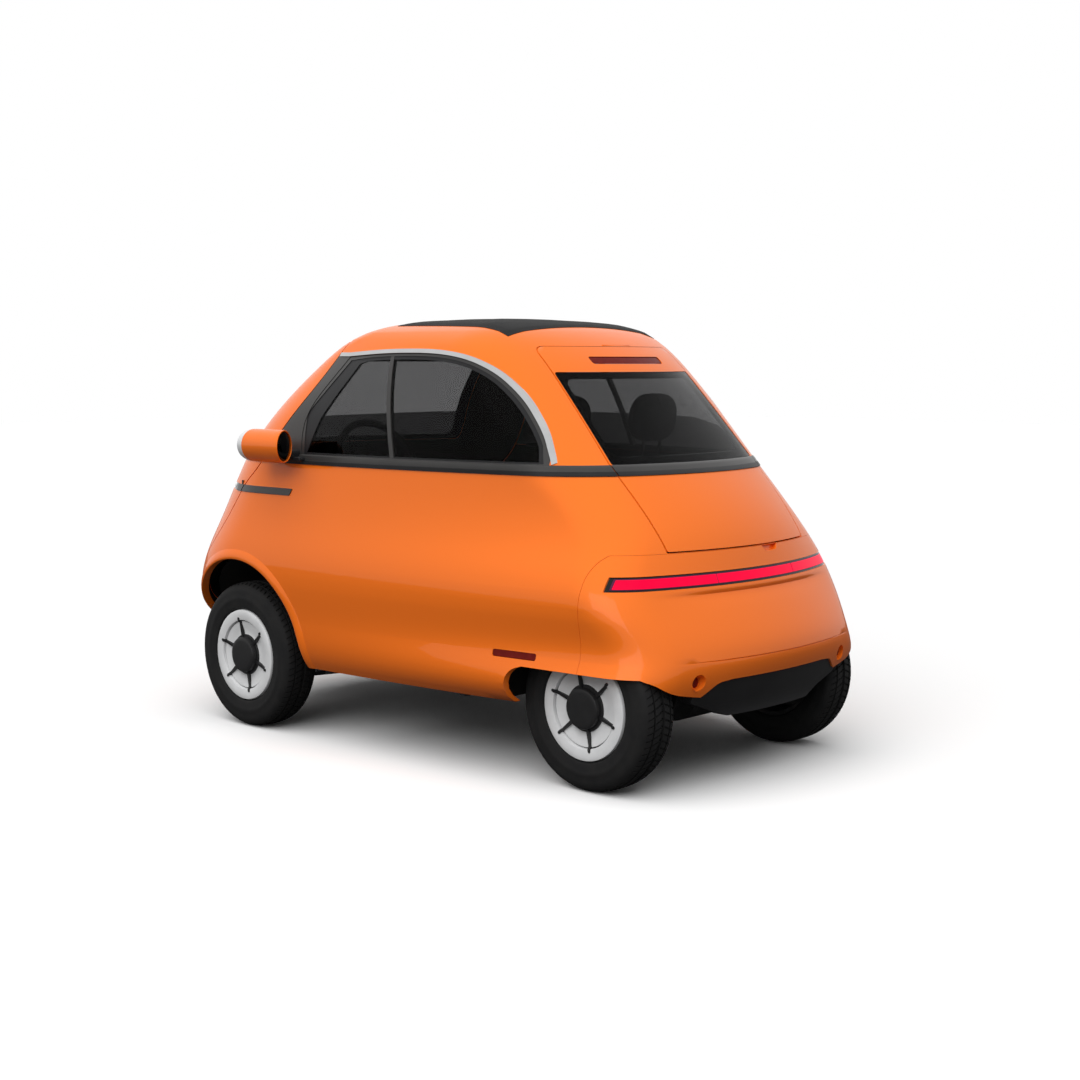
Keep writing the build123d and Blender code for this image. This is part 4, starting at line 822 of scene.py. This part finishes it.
# ---- belt strip and bright arch ------------------------------------------------------
for name, mat, belt_profile in (
    ("belt_strip", TRIM, [(0.9850, 0.003), (0.9860, -0.0035), (0.9985, -0.0045), (0.9999, -0.0030),
                          (0.9999, 0.003)]),
    ("belt_ledge", SATIN, [(1.0000, 0.003), (1.0000, -0.0028), (1.0110, -0.0040), (1.0175, -0.0030),
                           (1.0200, 0.0005), (1.0205, 0.006)]),
):
    root_belt = carved(
        wall_mesh(belt_profile), ("CUT", side_cut(door_cut_region)), ("CUT", hatch_block(SHUT_GAP))
    )
    piece(name, root_belt, "root", mat)
    piece(f"hatch_{name}", carved(wall_mesh(belt_profile), ("KEEP", hatch_block(0))), "hatch", mat)
    piece(f"door_{name}", carved(wall_mesh(belt_profile), ("KEEP", side_cut(door_region))), "front_door",
          mat)

arch_line = [(1.228, 1.3665)] + window_line + [(0.180, 1.021)]
s = turn_of(window_region)
outer_arch, inner_arch = shifted(arch_line, 0.0140 * s), shifted(arch_line, 0.0003 * s)
left_arch = carved(
    flat_wall(1.018, 1.41, -0.003, 0.002, 0.012),
    ("KEEP", left_cut(outer_arch + inner_arch[::-1])), ("CUT", side_cut(door_cut_region)),
)
piece("bright_arches", both_sides(left_arch), "root", CHROME)

# ---- lamps and markers ---------------------------------------------------------------
def inward(line, step):
    return shifted(line, -step * turn_of(line), closed=True)


behind_bar = box_mesh((-2, along(-0.1005)), (-1, 1), (0.6463, 0.6897))
piece("light_bar_surround", carved(flat_wall(0.640, 0.696, 0.0045, 0.0235), ("KEEP", behind_bar)),
      "root", GLOSS, replaces=["rear_light_bar"])
glow_cuts = [("CUT", box_mesh((-2, -0.8), (y - 0.0012, y + 0.0012), (0.6, 0.7))) for y in (0.2, -0.2)]
softened(piece(
    "tail_lens", carved(flat_wall(0.6515, 0.6845, 0.0025, 0.009), ("KEEP", box_mesh(
        (-2, along(-0.112)), (-1, 1), (0.6, 0.7)))), "root", VIOLET_LENS), 0.0015)
softened(piece(
    "tail_light", carved(
        flat_wall(0.6540, 0.6820, 0.0012, 0.0075),
        ("KEEP", box_mesh((-2, along(-0.118)), (-1, 1), (0.6, 0.7))),
        *glow_cuts,
    ), "root", RED_GLOW), 0.0015)
softened(piece(
    "brake_light", carved(
        flat_wall(1.330, 1.372, 0.0035, 0.012),
        ("KEEP", rear_cut(inward(brake_line, 0.0006), 0.5)),
    ), "hatch", RED_LENS, replaces=["third_brake_light"]), 0.0015)
left_marker = carved(
    flat_wall(0.405, 0.442, 0.001, 0.012), ("KEEP", left_cut(inward(marker_line, 0.0006)))
)
softened(piece("marker_lamps", both_sides(left_marker), "root", RED_LENS,
               replaces=["side_markers"]), 0.002)
for hand, s in (("left", 1), ("right", -1)):
    place = (along(-0.3155), s * 0.382, 0.368)
    lens = [(-0.0090, 0.0), (-0.0095, 0.0120), (-0.0110, 0.0165), (-0.0155, 0.0175), (-0.0155, 0.0)]
    piece(f"{hand}_reflector", turned_mesh(lens, place, (-1, 0, 0), 40), "root",
          RED_LENS, replaces=["rear_reflectors"] if s == 1 else [])
    cup = [(0.0, 0.0255), (-0.016, 0.0215), (-0.016, 0.0), (-0.0185, 0.0), (-0.0185, 0.0275),
           (0.0, 0.0275)]
    piece(f"{hand}_reflector_cup", turned_mesh(cup, place, (-1, 0, 0), 40), "root", PAINT)
front_bar_box = box_mesh((along(1.6525), 3), (-1, 1), (0.8724, 0.8976))
piece("front_bar_surround", carved(flat_wall(0.865, 0.905, 0.003, 0.0235), ("KEEP", front_bar_box)),
      "front_door", GLOSS, replaces=["front_light_bar"])
softened(piece(
    "front_strip_light", carved(
        flat_wall(0.8795, 0.8905, 0.0008, 0.006), ("KEEP", box_mesh((along(1.70), 3), (-1, 1), (0.8, 1))),
    ), "front_door", LAMP), 0.001)

# ---- side strips, arch lips, release notch ------------------------------------------------
strip_line = rounded([(1.300, 0.8725, 0.004), (1.286, 0.8975, 0.004), (1.75, 0.8975, 0),
                      (1.75, 0.8725, 0)])
for side, hand in ((1, "left"), (-1, "right")):
    reach = (0, 1) if side == 1 else (-1, 0)

    def strip_block():
        return ("KEEP", side_cut(strip_line, *reach))

    softened(piece(
        f"{hand}_side_strip", carved(flat_wall(*STRIP_WALL), strip_block(),
                                     ("CUT", side_cut(door_cut_region))),
        "root", SATIN), 0.0015)
    softened(piece(
        f"{hand}_door_strip", carved(flat_wall(*STRIP_WALL), strip_block(),
                                     ("KEEP", side_cut(door_region)),
                                     ("CUT", box_mesh((along(1.6515), 3), (-1, 1), (0, 2)))),
        "front_door", SATIN), 0.0015)


def flank_y(x, z):
    """How far out the left flank is at a place."""
    line = outline(z)[:sum(ARC_STEPS) + 1]
    for a, b in zip(line, line[1:]):
        if a[0] <= x <= b[0] and b[0] > a[0]:
            t = (x - a[0]) / (b[0] - a[0])
            return a[1] * (1 - t) + b[1] * t
    return 0.0


def arch_lip():
    """A rolled lip round the left front arch, in two runs split at the seam."""
    section = [(-0.001, -0.014), (-0.001, 0.0032), (0.0008, 0.0048), (0.0050, 0.0056), (0.0120, 0.0057),
               (0.0190, 0.0047), (0.0260, 0.0026), (0.0330, 0.0007), (0.0360, -0.0006), (0.0360, -0.004)]
    meshes = []
    for low, high in ((-0.8, 24.6), (25.4, 181.0)):
        bm = bmesh.new()
        rings = []
        for k in range(61):
            a = math.radians(low + (high - low) * k / 60)
            ring = []
            for step, rise in section:
                r = FRONT_ARCH + step
                x, z = FRONT_AXLE + r * math.cos(a), AXLE_Z + r * math.sin(a)
                z = max(z, SILL_Z)
                rise *= 1 if rise < 0 else min(1, 0.25 + math.degrees(a) / 50)
                ring.append(bm.verts.new((x, flank_y(x, z) + rise, z)))
            rings.append(ring)
        for r0, r1 in zip(rings, rings[1:]):
            for i in range(len(section)):
                j = (i + 1) % len(section)
                bm.faces.new((r0[i], r0[j], r1[j], r1[i]))
        bm.faces.new(rings[0])
        bm.faces.new(rings[-1][::-1])
        bmesh.ops.recalc_face_normals(bm, faces=bm.faces)
        meshes.append(bm)
    return joined(*meshes)


piece("arch_lips", both_sides(arch_lip()), "root", PAINT, sharp=50)
piece("release_recess", carved(
    flat_wall(0.728, 0.757, 0.014, 0.020),
    ("KEEP", box_mesh((-2, along(0.1)), (-0.150, -0.040), (0.7, 0.76))),
), "root", PAINT)

# ---- mirror pods ---------------------------------------------------------------------------
POD_Y, POD_Z, TOE = 0.752, 1.052, 0.53
POD_BARREL = [
    (0.009, 0.0), (0.009, 0.0520), (0.0015, 0.0530), (0.0, 0.0545), (0.0012, 0.0566), (0.006, 0.0578),
    (0.030, 0.0580), (0.060, 0.0580), (0.090, 0.0580), (0.120, 0.0580), (0.150, 0.0580), (0.205, 0.0575),
    (0.2060, 0.0500), (0.2060, 0.0),
]
POD_RING = [
    (0.2070, 0.0), (0.2070, 0.0568), (0.2300, 0.0545), (0.2400, 0.0505), (0.2450, 0.0455),
    (0.2430, 0.0430), (0.2340, 0.0425), (0.2340, 0.0),
]
POD_LENS = [
    (0.2345, 0.0), (0.2345, 0.0420), (0.2400, 0.0415), (0.2440, 0.0300), (0.2455, 0.0150), (0.2460, 0.0),
]
POD_FACE = [
    (0.0028, 0.0), (0.0030, 0.0300), (0.0036, 0.0480), (0.0055, 0.0512), (0.0088, 0.0512), (0.0088, 0.0),
]


def toed(bm):
    """The pod's rear end slanted, so that its mirror faces in to the driver."""
    for v in bm.verts:
        share = min(max((along(1.375) - v.co.x) / 0.09, 0), 1)
        v.co.x += share * TOE * (0.058 - (abs(v.co.y) - POD_Y))
    return bm


for hand, s in (("left", 1), ("right", -1)):
    rear = (along(1.205), s * POD_Y, POD_Z)
    piece(f"{hand}_pod_barrel", toed(turned_mesh(POD_BARREL, rear, (1, 0, 0), 80)), "root", PAINT,
          replaces=[f"{hand}_mirror_pod"])
    piece(f"{hand}_pod_ring", turned_mesh(POD_RING, rear, (1, 0, 0), 80), "root", COVER)
    piece(f"{hand}_pod_lens", turned_mesh(POD_LENS, rear, (1, 0, 0), 64), "root", LAMP,
          replaces=["headlamps"] if s == 1 else [])
    piece(f"{hand}_pod_mirror", toed(turned_mesh(POD_FACE, rear, (1, 0, 0), 64)), "root", MIRROR,
          replaces=["mirror_glasses"] if s == 1 else [])
    arm = rounded_box((along(1.270), along(1.400)), (0.640, 0.722), (1.000, 1.036), 0.012)
    foot = rounded_box((along(1.235), along(1.415)), (0.636, 0.690), (0.996, 1.012), 0.005)
    arm = joined(arm, foot)
    arm = mirrored(arm) if s < 0 else arm
    softened(piece(f"{hand}_pod_arm", arm, "root", TRIM), 0.001)

# ---- wheels ----------------------------------------------------------------------------
HALF_TREAD = 0.0725


def tyre_mesh(x, y, side):
    """A tyre with its grooves and with blocks sunk between the tread's lugs."""
    w = HALF_TREAD
    flank = [(0.0600, 0.1683), (0.0690, 0.1760), (0.0722, 0.1900), (0.0725, 0.2000), (0.0735, 0.2030),
             (0.0737, 0.2140), (0.0727, 0.2165), (0.0722, 0.2330), (0.0700, 0.2440), (0.0655, 0.2535),
             (0.0590, 0.2595)]
    tread = [(0.0520, 0.2637), (0.0400, 0.2665), (0.0395, 0.2610), (0.0335, 0.2610), (0.0330, 0.2674),
             (0.0200, 0.2682), (0.0080, 0.2685), (0.0076, 0.2630), (0.0030, 0.2630)]
    half = flank + tread
    profile = half + [(-a, r) for a, r in reversed(half)]
    bm = turned_mesh(profile, (x, y, AXLE_Z), (0, side, 0), 144)
    centre = Vector((x, y, AXLE_Z))
    pitch = 2 * math.pi / 72
    blocks = []
    for f in bm.faces:
        c = f.calc_center_median() - centre
        r = math.hypot(c.x, c.z)
        step = int((math.atan2(c.z, c.x) % (2 * math.pi)) / (math.pi / 72))
        if step % 2 == 0 and r > 0.2605 and abs(f.normal.y) < 0.75:
            blocks.append(f)
    for v in bm.verts:
        c = v.co - centre
        r, a = math.hypot(c.x, c.z), math.atan2(c.z, c.x) % (2 * math.pi)
        k, part = divmod(a, pitch)
        share = part / pitch
        share = share * 0.5 if share <= 0.5 else 0.25 + (share - 0.5) * 1.5
        a = (k + share) * pitch + pitch * 1.3 * abs(c.y) / w
        v.co = centre + Vector((r * math.cos(a), c.y, r * math.sin(a)))
    made = bmesh.ops.extrude_face_region(bm, geom=blocks)
    for v in [g for g in made["geom"] if isinstance(g, bmesh.types.BMVert)]:
        c = v.co - centre
        r = math.hypot(c.x, c.z)
        v.co.x -= c.x / r * 0.0045
        v.co.z -= c.z / r * 0.0045
    bmesh.ops.delete(bm, geom=[f for f in blocks if f.is_valid], context="FACES")
    bmesh.ops.recalc_face_normals(bm, faces=bm.faces)
    return bm


RING_PROFILE = [
    (0.050, 0.1680), (0.062, 0.1675), (0.0685, 0.1655), (0.0700, 0.1610), (0.0702, 0.1500),
    (0.0694, 0.1340), (0.0678, 0.1290), (0.0640, 0.1278), (0.0500, 0.1278),
]
DISH_PROFILE = [
    (0.0500, 0.1238), (0.0590, 0.1236), (0.0606, 0.1222), (0.0600, 0.1160), (0.0570, 0.1020),
    (0.0545, 0.0900), (0.0540, 0.0780), (0.0550, 0.0700), (0.0560, 0.0600), (0.0480, 0.0600),
    (0.0460, 0.1100),
]
HUB_PROFILE = [(0.0480, 0.0755), (0.0585, 0.0750), (0.0605, 0.0735), (0.0610, 0.0600), (0.0480, 0.0600)]
CAP_PROFILE = [
    (0.0540, 0.0655), (0.0745, 0.0652), (0.0765, 0.0640), (0.0778, 0.0615), (0.0786, 0.0500),
    (0.0794, 0.0300), (0.0799, 0.0120), (0.0800, 0.0), (0.0540, 0.0),
]
BARREL_PROFILE = [
    (-0.0605, 0.1680), (-0.0605, 0.1560), (-0.0300, 0.1460), (0.0350, 0.1450), (0.0420, 0.0700),
    (-0.0020, 0.0460), (-0.0020, 0.0155), (0.0080, 0.0155), (0.0080, 0.0), (0.0430, 0.0),
    (0.0480, 0.0700), (0.0490, 0.1680),
]
BAR_HALF, BAR_RIM_TOP, BAR_DISH_TOP = 0.0050, 0.0718, 0.0645


def wheel_pieces(body, x, y, side):
    """Tyre, trim ring, dish, cap, rim and bars of one wheel."""
    centre, axis = (x, y, AXLE_Z), (0, side, 0)
    piece(f"{body}_tyre", tyre_mesh(x, y, side), body, TYRE, sharp=30,
          replaces=[body.replace("_wheel", "_tyre")])
    piece(f"{body}_ring", turned_mesh(RING_PROFILE, centre, axis, 96), body, COVER,
          replaces=[body])
    piece(f"{body}_dish", turned_mesh(DISH_PROFILE, centre, axis, 96), body, COVER)
    cap = joined(turned_mesh(CAP_PROFILE, centre, axis, 64), turned_mesh(HUB_PROFILE, centre, axis, 64))
    piece(f"{body}_cap", cap, body, CAP)
    piece(f"{body}_rim", turned_mesh(BARREL_PROFILE, centre, axis, 72), body, STEEL, sharp=30)
    bars = []
    for k in range(6):
        bar = rounded_box((-BAR_HALF, BAR_HALF), (0.054, BAR_RIM_TOP), (0.050, 0.1400),
                          BAR_HALF - 0.0001, 4, only=1)
        for r in (0.118, 0.129):
            bmesh.ops.bisect_plane(bar, geom=[*bar.verts, *bar.edges, *bar.faces], plane_co=(0, 0, r),
                                   plane_no=(0, 0, 1))
        for v in bar.verts:
            if v.co.y > 0.06 and v.co.z < 0.1235:
                v.co.y = BAR_DISH_TOP
        if side < 0:
            bmesh.ops.scale(bar, vec=(1, -1, 1), verts=bar.verts)
            bmesh.ops.reverse_faces(bar, faces=bar.faces)
        bmesh.ops.rotate(bar, cent=(0, 0, 0), matrix=Matrix.Rotation(math.radians(60 * k + 12), 3, "Y"),
                         verts=bar.verts)
        bmesh.ops.translate(bar, vec=centre, verts=bar.verts)
        bars.append(bar)
    piece(f"{body}_bars", joined(*bars), body, CAP, sharp=50)


for end, x, y in (("front", FRONT_AXLE, FRONT_WHEEL_Y), ("rear", REAR_AXLE, REAR_WHEEL_Y)):
    for hand, side in (("left", 1), ("right", -1)):
        wheel_pieces(f"{end}_{hand}_wheel", x, side * y, side)

# ---- roof cloth ------------------------------------------------------------------------------
over_roof = whole_body.copy()
bmesh.ops.triangulate(over_roof, faces=over_roof.faces)
roof_tree = BVHTree.FromBMesh(over_roof)
over_roof.free()
ROOF_X, ROOF_HALF, CLOTH_BOWS = (0.497, 1.066), 0.388, 4


def cloth_point(u, v, lift):
    """A place on the roof cloth, u along and v across, both from -1 to 1."""
    a, b = u * math.sqrt(1 - 0.05 * v * v), v * math.sqrt(1 - 0.05 * u * u)
    x = along((ROOF_X[0] + ROOF_X[1]) / 2 + a * (ROOF_X[1] - ROOF_X[0]) / 2)
    y = b * ROOF_HALF
    hit = roof_tree.ray_cast(Vector((x, y, 2)), Vector((0, 0, -1)))[0]
    edge = min(1 - abs(u), 1 - abs(v))
    taut = min(edge / 0.10, 1)
    bow = 0.5 + 0.5 * math.cos(math.pi * (CLOTH_BOWS * (u + 1) / 2 * 2))
    hem = 0.0012 * math.exp(-((edge - 0.035) / 0.012) ** 2)
    rise = 0.0018 + 0.0022 * taut * (3 - 2 * taut) * taut + 0.0010 * bow * taut - hem
    return (x, y, hit.z + (rise if lift else 0.0006))


cloth = bmesh.new()
across, count = 84, 68
for lift in (True, False):
    grid = [[cloth.verts.new(cloth_point(2 * i / count - 1, 2 * j / across - 1, lift))
             for j in range(across + 1)] for i in range(count + 1)]
    for i in range(count):
        for j in range(across):
            cloth.faces.new((grid[i][j], grid[i + 1][j], grid[i + 1][j + 1], grid[i][j + 1]))
bmesh.ops.bridge_loops(cloth, edges=[e for e in cloth.edges if len(e.link_faces) == 1])
bmesh.ops.recalc_face_normals(cloth, faces=cloth.faces)
roof_cloth = piece("roof_cloth", cloth, "root", FABRIC, sharp=60, replaces=["soft_top"])


# ---- seats -----------------------------------------------------------------------------------
def puffed(bm, voxel, reach):
    """A closed form remeshed, puffed by cloth pressure and capped in its movement."""
    obj = hidden_object(bm)
    remesh = obj.modifiers.new("remesh", "REMESH")
    remesh.mode = "VOXEL"
    remesh.voxel_size = voxel
    view = bpy.context.evaluated_depsgraph_get()
    plain = bpy.data.meshes.new_from_object(obj.evaluated_get(view))
    obj.modifiers.clear()
    old = obj.data
    obj.data = plain
    bpy.data.meshes.remove(old)
    places = [v.co.copy() for v in plain.vertices]
    cloth_mod = obj.modifiers.new("puff", "CLOTH")
    cloth_mod.settings.use_pressure = True
    cloth_mod.settings.uniform_pressure_force = 4
    cloth_mod.settings.effector_weights.gravity = 0
    cloth_mod.point_cache.frame_start, cloth_mod.point_cache.frame_end = 1, 20
    for step in range(1, 21):
        scene.frame_set(step)
    view = bpy.context.evaluated_depsgraph_get()
    soft = obj.evaluated_get(view).to_mesh()
    moved = []
    for v, start in zip(soft.vertices, places):
        shift = v.co - start
        if shift.length > reach:
            shift *= reach / shift.length
        moved.append(start + shift)
    places = moved
    obj.evaluated_get(view).to_mesh_clear()
    scene.frame_set(1)
    obj.modifiers.clear()
    out = bmesh.new()
    out.from_mesh(obj.data)
    for v, co in zip(out.verts, places):
        v.co = co
    data = obj.data
    bpy.data.objects.remove(obj)
    bpy.data.meshes.remove(data)
    bmesh.ops.subdivide_edges(out, edges=out.edges, cuts=1, use_grid_fill=True)
    for _ in range(3):
        bmesh.ops.smooth_vert(out, verts=out.verts, factor=0.5, use_axis_x=True, use_axis_y=True,
                              use_axis_z=True)
    out.normal_update()
    return out


def stitched(bm, seams, width=0.0045, depth=0.0055):
    """Sewn channels: each seam is (axis, place, axis limited, from, to)."""
    normals = [v.normal.copy() for v in bm.verts]
    for v, normal in zip(bm.verts, normals):
        sink = 0.0
        for axis, place, other, low, high in seams:
            if low <= v.co[other] <= high:
                sink = max(sink, depth * math.exp(-((v.co[axis] - place) / width) ** 2))
        v.co = v.co - normal * sink
    return bm


def leaned(bm, place, degrees):
    """A mesh tipped about the car's width and moved to its place."""
    turn = Matrix.Rotation(math.radians(degrees), 4, "Y")
    bmesh.ops.transform(bm, matrix=Matrix.Translation(place) @ turn, verts=bm.verts)
    return bm


def cushion(name, bm, node):
    """A left and a right padded piece of the same form."""
    for hand, form in (("left", bm), ("right", mirrored(bm))):
        pad = piece(f"{hand}_{name}", form, "root", SEAT, sharp=80,
                    replaces=[node] if hand == "left" else [])


squab = puffed(rounded_box((-0.228, 0.228), (0.024, 0.451), (-0.047, 0.047), 0.034, 4), 0.007, 0.012)
squab = stitched(squab, [(0, -0.10, 2, 0, 1), (0, 0.02, 2, 0, 1), (1, 0.100, 2, 0, 1),
                         (1, 0.375, 2, 0, 1), (2, 0.0, 0, -1, 1)])
cushion("seat_cushion", leaned(squab, (-0.135, 0, 0.494), 0), "seat_base")
back = puffed(rounded_box((-0.038, 0.038), (0.024, 0.451), (-0.248, 0.248), 0.030, 4), 0.007, 0.011)
back = stitched(back, [(2, -0.12, 0, 0, 1), (2, 0.0, 0, 0, 1), (2, 0.12, 0, 0, 1), (1, 0.095, 0, 0, 1),
                       (1, 0.380, 0, 0, 1), (0, 0.0, 0, -1, 1)])
cushion("back_cushion", leaned(back, (-0.4535, 0, 0.743), -9), "seat_back")
rest = rounded_box((-0.030, 0.030), (0.1180, 0.3410), (-0.084, 0.084), 0.072, 6, only=0)
bmesh.ops.bevel(rest, geom=[e for e in rest.edges if abs(e.verts[0].co.x - e.verts[1].co.x) < 1e-6],
                offset=0.022, offset_type="OFFSET", segments=4, profile=0.5, affect="EDGES", material=-1)
rest = puffed(rest, 0.006, 0.008)
rest = stitched(rest, [(0, 0.0, 1, 0, 1)])
cushion("headrest", leaned(rest, (-0.501, 0, 1.150), -9), "headrests")
stalks = []
for y in (0.185, 0.275, -0.185, -0.275):
    stalks.append(tube_mesh((-0.486, y, 0.985), (-0.4995, y, 1.095), 0.006, 20))
piece("headrest_stalks", joined(*stalks), "root", STEEL)

# ---- studio --------------------------------------------------------------------------------
floor_mesh = bmesh.new()
bmesh.ops.create_grid(floor_mesh, x_segments=1, y_segments=1, size=30)
floor_data = bpy.data.meshes.new("studio_floor")
floor_mesh.to_mesh(floor_data)
floor_mesh.free()
floor = bpy.data.objects.new("studio_floor", floor_data)
scene.collection.objects.link(floor)
floor_mat = bpy.data.materials.new("studio_floor")
floor_mat.use_nodes = True
fn, fl = floor_mat.node_tree.nodes, floor_mat.node_tree.links
fn["Principled BSDF"].inputs["Roughness"].default_value = 0.95
fn["Principled BSDF"].inputs["Specular IOR Level"].default_value = 0.0
light_path = fn.new("ShaderNodeLightPath")
floor_tone = fn.new("ShaderNodeMix")
floor_tone.data_type = "RGBA"
floor_tone.inputs["A"].default_value = (0.12, 0.12, 0.12, 1)
floor_tone.inputs["B"].default_value = (0.97, 0.97, 0.97, 1)
fl.new(light_path.outputs["Is Camera Ray"], floor_tone.inputs["Factor"])
fl.new(floor_tone.outputs["Result"], fn["Principled BSDF"].inputs["Base Color"])
floor_data.materials.append(floor_mat)

world = scene.world or bpy.data.worlds.new("studio")
scene.world = world
world.use_nodes = True
wn, wl = world.node_tree.nodes, world.node_tree.links
back = wn["Background"]
rays = wn.new("ShaderNodeLightPath")
seen = wn.new("ShaderNodeMath")
seen.operation = "MAXIMUM"
seen_more = wn.new("ShaderNodeMath")
seen_more.operation = "MAXIMUM"
wl.new(rays.outputs["Is Camera Ray"], seen.inputs[0])
wl.new(rays.outputs["Is Glossy Ray"], seen.inputs[1])
wl.new(seen.outputs["Value"], seen_more.inputs[0])
wl.new(rays.outputs["Is Transmission Ray"], seen_more.inputs[1])
level = wn.new("ShaderNodeMapRange")
level.inputs["To Min"].default_value = 0.20
level.inputs["To Max"].default_value = 1.0
wl.new(seen_more.outputs["Value"], level.inputs["Value"])
wl.new(level.outputs["Result"], back.inputs["Strength"])
back.inputs["Color"].default_value = (1, 1, 1, 1)


def softbox(name, place, towards, size, power):
    """A flat lamp aimed at a place."""
    light = bpy.data.lights.new(name, "AREA")
    light.shape = "RECTANGLE"
    light.size, light.size_y = size
    light.energy = power
    lamp = bpy.data.objects.new(name, light)
    lamp.location = place
    lamp.rotation_euler = (Vector(towards) - Vector(place)).to_track_quat("-Z", "Y").to_euler()
    scene.collection.objects.link(lamp)


sky = bpy.data.lights.new("overhead_light", "SUN")
sky.energy = 2.95
sky.angle = math.radians(82)
sky_lamp = bpy.data.objects.new("overhead_light", sky)
sky_lamp.rotation_euler = Vector((0.18, -0.46, -1)).to_track_quat("-Z", "Y").to_euler()
sky_lamp.visible_glossy = False
scene.collection.objects.link(sky_lamp)
softbox("left_softbox", (-2.6, 5.0, 2.6), (-0.1, 0.3, 0.7), (3.4, 2.4), 45)

camera = bpy.data.objects.new("camera", bpy.data.cameras.new("camera"))
scene.collection.objects.link(camera)
camera.location = (-4.3711, 4.3877, 1.3443)
heading, pitch_angle = math.radians(-46.212), math.radians(-6.016)
facing = Vector((
    math.cos(pitch_angle) * math.cos(heading), math.cos(pitch_angle) * math.sin(heading),
    math.sin(pitch_angle),
))
camera.rotation_euler = facing.to_track_quat("-Z", "Y").to_euler()
camera.data.sensor_width = 36
camera.data.lens = 56.14
camera.data.clip_end = 200
scene.camera = camera
scene.view_settings.view_transform = "Standard"
